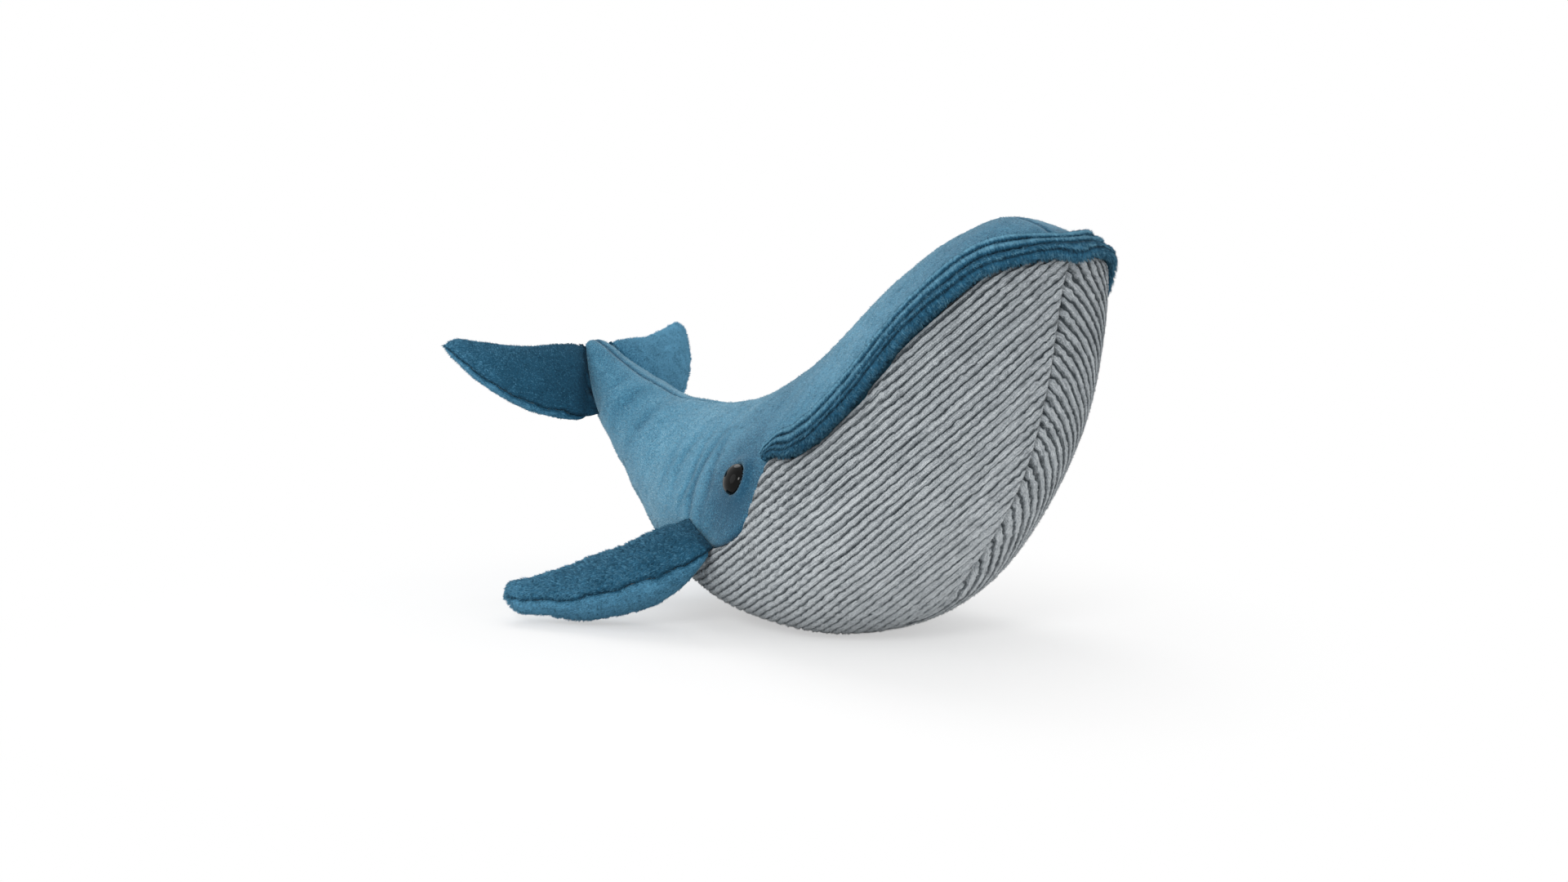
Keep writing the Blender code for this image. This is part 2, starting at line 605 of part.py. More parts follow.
class Limb:
    """A stuffed limb of two panels on one side of the body, hinged on its root seam."""

    def __init__(self, shape, side):
        self.shape = shape
        self.side = side
        front, middle, rear = (BODY.point(*share) for share in shape.seam_shares)
        out = BODY.normal(*shape.seam_shares[1])
        along_seam = front - rear
        away = (out - along_seam * out.dot(along_seam) / along_seam.length_squared).normalized()
        self.seam = along_seam
        self.away = away
        bulge = max((middle - (front + rear) / 2).dot(away), 0)
        self.root = (front + rear) / 2 + away * (bulge + shape.welt_radius + SEAM_GAP)
        sweep, droop, roll = shape.sweep, shape.droop, shape.roll
        self.span = Vector((math.cos(droop) * math.cos(sweep), math.cos(droop) * math.sin(sweep), -math.sin(droop)))
        level = Vector((math.sin(sweep), -math.cos(sweep), 0))
        upright = level.cross(self.span)
        upright = upright if upright.z > 0 else -upright
        self.lead = level * math.cos(roll) - upright * math.sin(roll)
        self.upper = self.span.cross(self.lead)
        self.upper = self.upper if self.upper.dot(upright) > 0 else -self.upper
        self.rows = self.build_rows()

    def local(self, vector):
        """Shares along, across and above the limb's straight line."""
        return (vector.dot(self.span) / self.shape.length,
                vector.dot(self.lead) / (self.shape.chord / 2),
                vector.dot(self.upper) / self.shape.length)

    def build_rows(self):
        """Leading edge, trailing edge and half thickness of each row."""
        shape = self.shape
        twist = self.local(self.seam / 2)[2]
        rows = []
        for step, thick in ((-1, 0.4), (0, 1.0)):
            shift = self.away * step * shape.welt_radius
            lead, trail = self.local(shift + self.seam / 2), self.local(shift - self.seam / 2)
            rows.append((*lead, *trail, thick * shape.welt_radius / (shape.thickness / 2)))
        for lead_along, lead_across, trail_along, trail_across, hang, thick in shape.row_shares:
            left = twist * max(1 - (lead_along + trail_along) / 2 / TWIST_SHARE, 0)
            rows.append((lead_along, lead_across, left - hang, trail_along, trail_across, -left - hang, thick))
        return rows

    def point(self, row, share):
        """Point at a row and a share of the way round from the leading edge."""
        values = spline(self.rows, row)
        scale = (self.shape.length, self.shape.chord / 2, self.shape.length)
        lead = self.root + self.mix([a * b for a, b in zip(values[:3], scale)])
        trail = self.root + self.mix([a * b for a, b in zip(values[3:6], scale)])
        half_chord = (lead - trail) / 2
        rise = self.rise(half_chord) * max(values[6], 0) * self.shape.thickness / 2
        angle = math.pi * share
        return (lead + trail) / 2 + half_chord * math.cos(angle) + rise * math.sin(angle)

    def mix(self, amounts):
        """Turn amounts along, across and above into a vector."""
        return self.span * amounts[0] + self.lead * amounts[1] + self.upper * amounts[2]

    def rise(self, half_chord):
        """Direction square to the chord, on the upper side."""
        if half_chord.length_squared < SEAM_GAP * SEAM_GAP:
            return self.upper
        return (self.upper - half_chord * self.upper.dot(half_chord) / half_chord.length_squared).normalized()

    def normal(self, row, share):
        """Outward direction of the surface."""
        last = len(self.rows) - 1
        if row >= last:
            return self.span
        along = self.point(min(row + BLEND_STEP, last), share) - self.point(max(row - BLEND_STEP, 0), share)
        round_ = self.point(row, share + BLEND_STEP / 4) - self.point(row, share - BLEND_STEP / 4)
        out = along.cross(round_).normalized()
        middle = (self.point(row, 0) + self.point(row, 1)) / 2
        return out if out.dot(self.point(row, share) - middle) > 0 else -out

    def cloth(self, row):
        """Thickness of the cloth, drawn in where the limb is too slim for it."""
        half = max(spline(self.rows, row)[6], 0) * self.shape.thickness / 2
        return max(min(LIMB_CLOTH_THICKNESS, half * THIN_END_SHARE), SEAM_GAP)

    def edge(self, row):
        """Share of the way round at which the panels meet, and the seam's upward direction."""
        first, last = EDGE_ROWS
        share = self.shape.edge_share * min(max((row - first) / (last - first), 0), 1)
        up = self.point(row, share + BLEND_STEP) - self.point(row, share - BLEND_STEP)
        return share, up.normalized() if up.length > SEAM_GAP else self.upper

    def settle(self, point, row, share, upper_side):
        """Keep a point on its own side of the edge seam, then mirror it for its side."""
        limit = LIMB_EDGE_GAP / 2
        seam, up = self.edge(row)
        if share == seam:
            point = point + up * (limit if upper_side else -limit)
        if upper_side or share <= 0:
            lead, trail = self.point(row, 0), self.point(row, 1)
            rise = self.rise((lead - trail) / 2)
            height = (point - (lead + trail) / 2).dot(rise)
            point = point + rise * (max(limit - height, 0) if upper_side else min(-limit - height, 0))
        return Vector((self.side * point.x, point.y, point.z))

    def cloth_panel(self, upper_side):
        """The upper or the lower panel."""
        outer, inner = [], []
        turn = 1 if upper_side else -1
        for row in LIMB_ROWS:
            depth = self.cloth(row)
            seam = self.edge(row)[0]
            spots = [seam + (turn - seam) * j / LIMB_COLUMNS for j in range(LIMB_COLUMNS + 1)]
            outer.append([self.settle(self.point(row, s), row, s, upper_side) for s in spots])
            inner.append([self.settle(self.point(row, s) - self.normal(row, s) * depth, row, s, upper_side)
                          for s in spots])
        return close_shell(outer, inner)

    def filling(self):
        """The filling between the panels."""
        rings = []
        for row in LIMB_FILL_ROWS:
            depth = self.cloth(row) + FILL_GAP
            ring = []
            for j in range(2 * LIMB_COLUMNS):
                share = j / LIMB_COLUMNS
                spot = self.point(row, share) - self.normal(row, share) * depth
                ring.append(Vector((self.side * spot.x, spot.y, spot.z)))
            rings.append(ring)
        return close_loft(rings)

    def add(self, whale):
        """Put the limb's pieces on an empty at the middle of its root seam."""
        word = "left" if self.side > 0 else "right"
        name = f"{self.shape.name}_{word}"
        root = Vector((self.side * self.root.x, self.root.y, self.root.z))
        hinge = add_empty(name + "_hinge", root, whale)
        for upper_side, suffix in ((True, "upper"), (False, "lower")):
            add_object(f"{name}_{suffix}", self.cloth_panel(upper_side), PLUSH_DEEP_BLUE, hinge, root)
        add_object(f"stuffing_{name}", self.filling(), FILL_WHITE, hinge, root)


FLIPPER = LimbShape("flipper", FLIPPER_LENGTH, FLIPPER_CHORD, FLIPPER_THICKNESS, FLIPPER_WELT_RADIUS,
                    FLIPPER_EDGE_SHARE, FLIPPER_SEAM_SHARES, FLIPPER_ROW_SHARES,
                    FLIPPER_SWEEP, FLIPPER_DROOP, FLIPPER_ROLL)
FLUKE = LimbShape("fluke", FLUKE_LENGTH, FLUKE_CHORD, FLUKE_THICKNESS, FLUKE_WELT_RADIUS,
                  FLUKE_EDGE_SHARE, FLUKE_SEAM_SHARES, FLUKE_ROW_SHARES,
                  FLUKE_SWEEP, FLUKE_DROOP, FLUKE_ROLL)


def centre_on_floor(whale):
    """Move the toy along, so that the origin is on the floor under its middle."""
    bpy.context.view_layer.update()
    spots = [obj.matrix_world @ vertex.co for obj in bpy.data.objects
             if obj.type == "MESH" and not obj.hide_render for vertex in obj.data.vertices]
    whale.location.y = -(min(p.y for p in spots) + max(p.y for p in spots)) / 2
    whale.location.z = -min(p.z for p in spots)
    bpy.context.view_layer.update()


def main():
    """Build the whale."""
    for obj in list(bpy.data.objects):
        bpy.data.objects.remove(obj, do_unlink=True)
    whale = add_empty("whale", Vector())
    panels = add_body_panels(whale)
    lumps = add_filling(whale)
    add_eyes(whale, panels, lumps)
    add_lip_rolls(whale)
    for shape in (FLIPPER, FLUKE):
        for side in (1, -1):
            Limb(shape, side).add(whale)
    centre_on_floor(whale)


if __name__ == "__main__":
    main()
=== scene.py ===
"""Plush whale, dressed: pile, corduroy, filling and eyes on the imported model.

The whale faces -Y, +Z is up and its left side is at +X. All lengths are in metres.
"""

import logging
import math
from collections.abc import Callable
from dataclasses import dataclass, field, replace
from enum import Enum

import bmesh
import bpy
import numpy as np
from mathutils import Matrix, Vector
from mathutils.bvhtree import BVHTree
from mathutils.kdtree import KDTree


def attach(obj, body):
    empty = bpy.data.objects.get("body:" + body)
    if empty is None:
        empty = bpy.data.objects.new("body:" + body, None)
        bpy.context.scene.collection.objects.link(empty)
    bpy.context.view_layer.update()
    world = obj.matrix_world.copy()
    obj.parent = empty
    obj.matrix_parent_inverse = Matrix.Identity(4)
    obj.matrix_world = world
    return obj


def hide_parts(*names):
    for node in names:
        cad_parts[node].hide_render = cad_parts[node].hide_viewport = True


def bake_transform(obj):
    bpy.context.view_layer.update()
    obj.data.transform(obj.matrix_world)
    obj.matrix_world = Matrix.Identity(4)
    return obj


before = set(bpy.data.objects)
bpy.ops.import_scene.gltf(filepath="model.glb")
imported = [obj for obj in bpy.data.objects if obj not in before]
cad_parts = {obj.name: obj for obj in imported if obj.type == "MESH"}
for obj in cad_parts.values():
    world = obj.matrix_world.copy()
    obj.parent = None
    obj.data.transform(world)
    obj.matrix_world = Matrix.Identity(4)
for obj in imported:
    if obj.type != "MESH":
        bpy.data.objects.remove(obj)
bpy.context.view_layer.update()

LOG = logging.getLogger("plush_whale")
MM = 0.001
Pairs = tuple[tuple[float, float], ...]
RollLine = list[tuple[np.ndarray, np.ndarray, float]]  # middle, upward direction, half height
BAKE_MAP = "OFBake"

# The body's rows from the end of the tail stock to the snout: shares of the length and
# the height of the back point and of the belly point, the share of half the width, how
# far down the row is widest, and the roundness of its upper and its lower half.
BODY_ROWS = np.array((
    (-0.598, 0.617, -0.598, 0.617, 0.000, 0.50, 2.00, 2.00),
    (-0.591, 0.622, -0.600, 0.600, 0.085, 0.50, 2.20, 2.00),
    (-0.569, 0.611, -0.600, 0.537, 0.142, 0.50, 2.50, 2.00),
    (-0.525, 0.577, -0.571, 0.433, 0.216, 0.50, 2.50, 2.00),
    (-0.466, 0.537, -0.515, 0.350, 0.292, 0.50, 2.35, 2.00),
    (-0.387, 0.504, -0.436, 0.226, 0.408, 0.50, 2.10, 2.00),
    (-0.294, 0.500, -0.328, 0.105, 0.600, 0.55, 1.90, 2.10),
    (-0.201, 0.525, -0.201, 0.029, 0.800, 0.58, 1.75, 2.20),
    (-0.103, 0.594, -0.088, 0.002, 0.938, 0.61, 1.65, 2.35),
    (-0.010, 0.699, 0.042, 0.003, 1.000, 0.62, 1.55, 2.25),
    (0.069, 0.812, 0.160, 0.087, 1.000, 0.60, 1.50, 2.02),
    (0.147, 0.905, 0.250, 0.245, 0.940, 0.56, 1.50, 1.98),
    (0.221, 0.967, 0.315, 0.417, 0.840, 0.50, 1.50, 2.00),
    (0.284, 0.996, 0.351, 0.592, 0.700, 0.46, 1.60, 2.00),
    (0.334, 0.981, 0.370, 0.750, 0.545, 0.44, 1.70, 2.00),
    (0.368, 0.946, 0.379, 0.842, 0.375, 0.46, 1.80, 2.00),
    (0.388, 0.925, 0.389, 0.897, 0.170, 0.50, 2.00, 2.00),
    (0.392, 0.913, 0.392, 0.913, 0.000, 0.50, 2.00, 2.00),
))

# The seam between plush and corduroy: a row and the share of the way round.
BORDER = np.array((
    (6.10, 1.000), (6.25, 0.860), (6.50, 0.720), (6.80, 0.622), (7.10, 0.567),
    (7.50, 0.539), (8.00, 0.528), (8.40, 0.506), (8.60, 0.483), (8.75, 0.444),
    (8.85, 0.389), (8.95, 0.339), (9.20, 0.347), (9.55, 0.372), (10.10, 0.394),
    (10.70, 0.411), (11.10, 0.420), (11.70, 0.426), (12.10, 0.434), (12.60, 0.457),
    (13.15, 0.480), (13.60, 0.492), (14.20, 0.495), (14.90, 0.484), (15.50, 0.476),
    (16.00, 0.515), (16.45, 0.640), (16.82, 1.000),
))
MOUTH_CORNER_ROW = 8.95

# A limb's rows: leading and trailing edge along the limb (shares of the length) and
# across it (shares of half the chord), how far they hang, the share of half thickness.
FLIPPER_ROWS = (
    (-0.070, 0.700, 0.145, -0.650, 0.016, 0.38),
    (-0.010, 0.830, 0.205, -0.730, 0.042, 0.65),
    (0.088, 0.950, 0.290, -0.870, 0.081, 0.87),
    (0.246, 1.000, 0.426, -0.960, 0.112, 0.97),
    (0.451, 0.960, 0.590, -0.920, 0.117, 0.98),
    (0.656, 0.840, 0.738, -0.780, 0.106, 0.84),
    (0.836, 0.620, 0.869, -0.550, 0.064, 0.64),
    (0.965, 0.430, 0.975, -0.400, 0.034, 0.54),
    (1.025, 0.030, 1.025, -0.030, 0.018, 0.00),
)
FLUKE_ROWS = (
    (-0.052, 0.900, 0.080, -0.840, 0.000, 0.38),
    (0.005, 1.010, 0.125, -0.820, 0.000, 0.74),
    (0.130, 1.090, 0.215, -0.720, 0.000, 0.96),
    (0.313, 1.120, 0.344, -0.570, 0.000, 1.02),
    (0.521, 0.975, 0.521, -0.400, 0.000, 0.96),
    (0.708, 0.730, 0.688, -0.310, 0.000, 0.81),
    (0.854, 0.450, 0.833, -0.260, 0.000, 0.62),
    (0.953, 0.240, 0.938, -0.190, 0.000, 0.42),
    (1.000, 0.060, 1.000, 0.060, 0.000, 0.00),
)

SEAM_GAP = 0.3 * MM
FLOOR_CLEARANCE = 0.2 * MM
MERGE = 0.01 * MM  # how close points are merged
TINY = 1e-12  # keeps a division from zero
STRIDE = 4  # points of an outer wall for each point of its inner wall


class Side(Enum):
    """A side of the whale, with the sign of its x."""

    LEFT = 1
    RIGHT = -1

    @property
    def word(self) -> str:
        """The side's word in the node names."""
        return self.name.lower()

    @property
    def flip(self) -> np.ndarray:
        """What turns a point of the left side into one of this side."""
        return np.array([self.value, 1, 1])


class Face(Enum):
    """A face of a limb, with the turn in which its share runs from the leading edge."""

    UPPER = 1
    LOWER = -1

    @property
    def word(self) -> str:
        """The face's word in the node names."""
        return self.name.lower()


# Numbers and curves


def unit(vectors: np.ndarray) -> np.ndarray:
    """Scale vectors in the last axis to length one; those of no length stay as they are."""
    length = np.linalg.norm(vectors, axis=-1, keepdims=True)
    return vectors / np.where(length > TINY, length, 1)


def dot(a: np.ndarray, b: np.ndarray) -> np.ndarray:
    """Dot products over the last axis, which is kept."""
    return np.sum(a * b, axis=-1, keepdims=True)


def catmull(rows: np.ndarray, places: np.ndarray) -> np.ndarray:
    """Read a table at fractional rows, on a smooth curve through its rows.

    Args:
        rows: The table.
        places: Fractional row numbers, of any shape.

    Returns:
        The table's values, in a last axis.
    """
    index = np.clip(np.floor(places).astype(int), 0, len(rows) - 2)
    t = (places - index)[..., None]
    longer = np.vstack([2 * rows[0] - rows[1], rows, 2 * rows[-1] - rows[-2]])
    p0, p1, p2, p3 = (longer[index + k] for k in range(4))
    bend = (2 * p0 - 5 * p1 + 4 * p2 - p3) * t + (3 * p1 - p0 - 3 * p2 + p3) * t * t
    return p1 + 0.5 * t * (p2 - p0 + bend)


def ripple(points: np.ndarray, wavelength: float, seed: int, waves: int = 9,
           spread: tuple[float, float] = (0.7, 1.5)) -> np.ndarray:
    """Smooth unevenness in space, from a few slanted waves.

    Args:
        points: Places, in metres.
        wavelength: The mean distance from crest to crest.
        seed: Picks the waves.
        waves: How many waves are added.
        spread: The shortest and the longest wave, as shares of the mean.

    Returns:
        Values of about -1 to 1.
    """
    rng = np.random.default_rng(seed)
    total = np.zeros(points.shape[:-1])
    for _ in range(waves):
        way = unit(rng.normal(size=3)) * 2 * np.pi / (wavelength * rng.uniform(*spread))
        total += np.sin(points @ way + rng.uniform(0, 2 * np.pi))
    return total / math.sqrt(waves)


def bump(distance: np.ndarray, width: float) -> np.ndarray:
    """A bell curve of a distance: 1 at zero, falling away over a width."""
    return np.exp(-np.square(distance / width))


def even(curve: np.ndarray, count: int) -> np.ndarray:
    """Fractional indices at even lengths along a curve.

    Args:
        curve: Points along the curve.
        count: How many places are wanted.

    Returns:
        Fractional indices into the curve.
    """
    steps = np.linalg.norm(np.diff(curve, axis=0), axis=1)
    lengths = np.concatenate([[0], np.cumsum(steps)])
    return np.interp(np.linspace(0, lengths[-1], count), lengths, np.arange(len(curve)))


# The body's form


@dataclass(frozen=True)
class BodyForm:
    """The outer surface of the stuffed body."""

    length: float = 408 * MM
    height: float = 240 * MM
    width: float = 168 * MM
    middle: float = -54.263 * MM  # y from which the rows' shares count
    rise: float = 0.633 * MM  # the floor flattens the belly a little
    border_softness: float = 0.05  # rows over which the seam's corners are eased
    end_room: float = 0.06  # rows left at both ends, where a slope has no width
    edge_room: float = 0.005  # shares left at the seams for the same reason
    row_step: float = 0.02  # steps by which slopes are measured
    share_step: float = 0.004
    slim_share: float = 0.45  # the cloth's most, as a share of the room in a slim end
    fine_steps: int = 1500  # for measuring lengths along the body
    skin_rows: int = 8  # rows of the skin for each row of the table
    skin_columns: int = 96

    @property
    def last(self) -> int:
        """The last row's number."""
        return len(BODY_ROWS) - 1

    def points(self, rows: np.ndarray, shares: np.ndarray) -> np.ndarray:
        """Points on the left side of the body.

        Args:
            rows: Fractional row numbers.
            shares: Shares of the way round from the back seam to the belly seam.

        Returns:
            The points.
        """
        rows, shares = np.broadcast_arrays(rows, shares)
        v = catmull(BODY_ROWS, rows)
        zero = np.zeros(rows.shape)
        top, low = (
            np.stack([zero, self.middle - v[..., k] * self.length,
                      self.rise + v[..., k + 1] * self.height], -1)
            for k in (0, 2)
        )
        widest = top + (low - top) * v[..., 5, None]
        sine, cosine = np.sin(np.pi * shares), np.cos(np.pi * shares)
        upper = cosine > 0
        power = 2 / np.where(upper, v[..., 6], v[..., 7])
        reach = np.where(upper[..., None], top, low) - widest
        spots = widest + reach * (np.abs(cosine) ** power)[..., None]
        spots[..., 0] = np.maximum(v[..., 4], 0) * self.width / 2 * np.abs(sine) ** power
        return spots

    def normals(self, rows: np.ndarray, shares: np.ndarray) -> np.ndarray:
        """Outward directions at the same places as points().

        Args:
            rows: Fractional row numbers.
            shares: Shares of the way round.

        Returns:
            The directions.
        """
        rows, shares = np.broadcast_arrays(rows, shares)
        r = np.clip(rows, self.end_room, self.last - self.end_room)
        s = np.clip(shares, self.edge_room, 1 - self.edge_room)
        along = self.points(r + self.row_step, s) - self.points(r - self.row_step, s)
        around = self.points(r, s + self.share_step) - self.points(r, s - self.share_step)
        return unit(np.cross(along, around))

    def border(self, rows: np.ndarray) -> np.ndarray:
        """Shares of the way round at which plush and corduroy meet, eased at the seam's corners."""
        spread = np.linspace(-self.border_softness, self.border_softness, 7)
        return np.mean([np.interp(rows + d, BORDER[:, 0], BORDER[:, 1]) for d in spread], axis=0)

    def cloth(self, rows: np.ndarray, thickness: float) -> np.ndarray:
        """Thickness of the cloth, drawn in at the slim ends.

        Args:
            rows: Fractional row numbers.
            thickness: The full thickness.

        Returns:
            The thickness at each row.
        """
        v = catmull(BODY_ROWS, rows)
        high = np.hypot((v[..., 0] - v[..., 2]) * self.length, (v[..., 1] - v[..., 3]) * self.height)
        room = np.minimum(v[..., 4] * self.width, high) / 2
        return np.clip(room * self.slim_share, SEAM_GAP, thickness)

    def even_rows(self, first: float, last: float, step: float, shares: tuple[float, ...]) -> np.ndarray:
        """Rows at even distances, by the longest of some lines along the body.

        Args:
            first: The first row.
            last: The last row.
            step: The distance wanted between rows.
            shares: The lines' shares of the way round.

        Returns:
            The row numbers, in a count that the inner wall's stride divides.
        """
        fine = np.linspace(first, last, self.fine_steps)
        lines = [self.points(fine, np.full(self.fine_steps, share)) for share in shares]
        steps = np.max([np.linalg.norm(np.diff(line, axis=0), axis=1) for line in lines], axis=0)
        lengths = np.concatenate([[0], np.cumsum(steps)])
        count = STRIDE * max(2, round(lengths[-1] / step / STRIDE))
        return np.interp(np.linspace(0, lengths[-1], count + 1), lengths, fine)

    def skin(self) -> BVHTree:
        """The body's surface, for walking over it and for laying pieces on it.

        Returns:
            A tree of its faces.
        """
        places = np.arange(self.skin_rows * self.last + 1) / self.skin_rows
        turns = np.arange(self.skin_columns) / (self.skin_columns / 2)
        rows, columns = np.meshgrid(places, turns, indexing="ij")
        shares = np.where(columns <= 1, columns, 2 - columns)
        points = self.points(rows, shares)
        points[..., 0] *= np.where(columns <= 1, 1, -1)
        faces = quads(*rows.shape, 0, wrap=True)
        return BVHTree.FromPolygons(points.reshape(-1, 3).tolist(), faces.tolist())


BODY = BodyForm()


# Soft meshes


@dataclass
class Grid:
    """A grid of surface points with what the finish reads there."""

    points: np.ndarray  # rows x columns x 3
    normals: np.ndarray  # outward
    nap: np.ndarray  # the way the fibres lie
    relief: np.ndarray  # painted shade: 0 on the surface to 1 in the deepest crease; below 0 painted light
    detail: np.ndarray | None = None  # rows x columns x 2: further places for a pattern

    def mirrored(self) -> "Grid":
        """The same grid on the other side of the whale."""
        flip = Side.RIGHT.flip
        return replace(self, points=self.points * flip, normals=self.normals * flip, nap=self.nap * flip)


class SoftMesh:
    """Points, faces and surface values of one soft piece, gathered block by block."""

    def __init__(self) -> None:
        """Start with nothing."""
        self.points, self.rest, self.tuft, self.detail, self.normals = ([] for _ in range(5))
        self.faces: list[np.ndarray] = []
        self.maps: list[np.ndarray] = []
        self.count = 0

    def add_points(self, points: np.ndarray, normals: np.ndarray, tuft: np.ndarray,
                   rest: np.ndarray | None = None, detail: np.ndarray | None = None) -> int:
        """Add points.

        Args:
            points: The places.
            normals: The directions used for shading.
            tuft: Height in the pile, which paints shade at the fibres' roots, the fibre's own tone, and the
                relief of painted shade and light.
            rest: The places at which patterns are read; the points themselves by default.
            detail: Two further values for each point.

        Returns:
            The first new point's number.
        """
        first = self.count
        flat = points.reshape(-1, 3)
        self.points.append(flat)
        self.normals.append(normals.reshape(-1, 3))
        self.tuft.append(tuft.reshape(-1, 3))
        self.rest.append(flat if rest is None else rest.reshape(-1, 3))
        extra = np.zeros((len(flat), 3))
        if detail is not None:
            extra[:, :2] = detail.reshape(-1, 2)
        self.detail.append(extra)
        self.count += len(flat)
        return first

    def add_faces(self, faces: np.ndarray, places: np.ndarray, flip: bool = False) -> None:
        """Add faces of one kind.

        Args:
            faces: Point numbers, one face a line.
            places: The corners' places on the bake map.
            flip: Whether to turn the faces round.
        """
        order = slice(None, None, -1) if flip else slice(None)
        self.faces.append(faces[:, order])
        self.maps.append(places[:, order])

    def make(self, name: str) -> bpy.types.Object:
        """Make the object.

        Args:
            name: Its name.

        Returns:
            The object, linked to the scene, with its surface values and bake map.
        """
        mesh = bpy.data.meshes.new(name)
        points = np.concatenate(self.points)
        mesh.vertices.add(len(points))
        mesh.vertices.foreach_set("co", points.ravel())
        sizes = np.concatenate([np.full(len(f), f.shape[1]) for f in self.faces])
        mesh.loops.add(int(sizes.sum()))
        corners = np.concatenate([f.ravel() for f in self.faces])
        mesh.loops.foreach_set("vertex_index", corners.astype(np.int32))
        mesh.polygons.add(len(sizes))
        starts = np.concatenate([[0], np.cumsum(sizes)[:-1]])
        mesh.polygons.foreach_set("loop_start", starts.astype(np.int32))
        mesh.update(calc_edges=True)
        for word, values in (("rest", self.rest), ("tuft", self.tuft), ("detail", self.detail)):
            layer = mesh.attributes.new(word, "FLOAT_VECTOR", "POINT")
            layer.data.foreach_set("vector", np.concatenate(values).ravel())
        places = mesh.uv_layers.new(name=BAKE_MAP)
        places.data.foreach_set("uv", np.concatenate([m.reshape(-1, 2) for m in self.maps]).ravel())
        mesh.shade_smooth()
        made = bpy.data.objects.new(name, mesh)
        bpy.context.scene.collection.objects.link(made)
        return made


def only(*objects: bpy.types.Object) -> None:
    """Select some objects and nothing else; the first becomes the active one."""
    bpy.ops.object.select_all(action="DESELECT")
    for obj in objects:
        obj.select_set(True)
    bpy.context.view_layer.objects.active = objects[0]


def quads(rows: int, columns: int, first: int, wrap: bool = False) -> np.ndarray:
    """Faces of a grid of points.

    Args:
        rows: How many rows of points.
        columns: How many columns of points.
        first: The first point's number.
        wrap: Whether the last column joins the first.

    Returns:
        Four point numbers a face.
    """
    i, j = np.meshgrid(np.arange(rows - 1), np.arange(columns if wrap else columns - 1), indexing="ij")
    k = (j + 1) % columns
    corners = [i * columns + j, (i + 1) * columns + j, (i + 1) * columns + k, i * columns + k]
    return first + np.stack(corners, -1).reshape(-1, 4)


def quad_places(rows: int, columns: int, low: tuple[float, float],
                high: tuple[float, float]) -> np.ndarray:
    """Places on the bake map for a grid's faces.

    Args:
        rows: How many rows of faces.
        columns: How many columns of faces.
        low: The patch's low corner on the map.
        high: Its high corner.

    Returns:
        Four places a face, in the order of quads().
    """
    i, j = np.meshgrid(np.arange(rows), np.arange(columns), indexing="ij")
    corners = [np.stack([i + a, j + b], -1) for a, b in ((0, 0), (1, 0), (1, 1), (0, 1))]
    share = np.stack(corners, 2).reshape(-1, 4, 2) / np.array([rows, columns])
    return np.array(low) + share * (np.array(high) - np.array(low))


def turned(points: np.ndarray, normals: np.ndarray) -> bool:
    """Whether a grid's faces, as quads() lists them, look against its normals.

    Args:
        points: The grid's points.
        normals: Its outward directions.

    Returns:
        Whether the faces have to be turned round.
    """
    along = points[1:, :-1] - points[:-1, :-1]
    around = points[:-1, 1:] - points[:-1, :-1]
    return bool(np.sum(np.cross(along, around) * normals[:-1, :-1]) < 0)


# The parts of the bake map: low and high corner of each.
OUTER_PATCH = ((0.005, 0.005), (0.795, 0.995))
INNER_PATCH = ((0.815, 0.005), (0.995, 0.895))
RIM_PATCH = ((0.815, 0.915), (0.995, 0.995))
END_PATCHES = ((0.9, 0.9), (0.9, 0.8))  # middles of the parts for a lip roll's two ends
END_PATCH_RADIUS = 0.04
LIGHTEST = -0.5  # a relief below 0 is painted light
FIBRE_PATCH = 0.0008  # size of a fibre's face, near its root's place on the outer patch
FIBRE_ROOM = (0.006, 0.794)  # between these the fibres' faces stay, across the map and up it
PLAIN_TONE = 0.5  # the cloth's own tone; a fibre's tone is drawn from 0 to 1


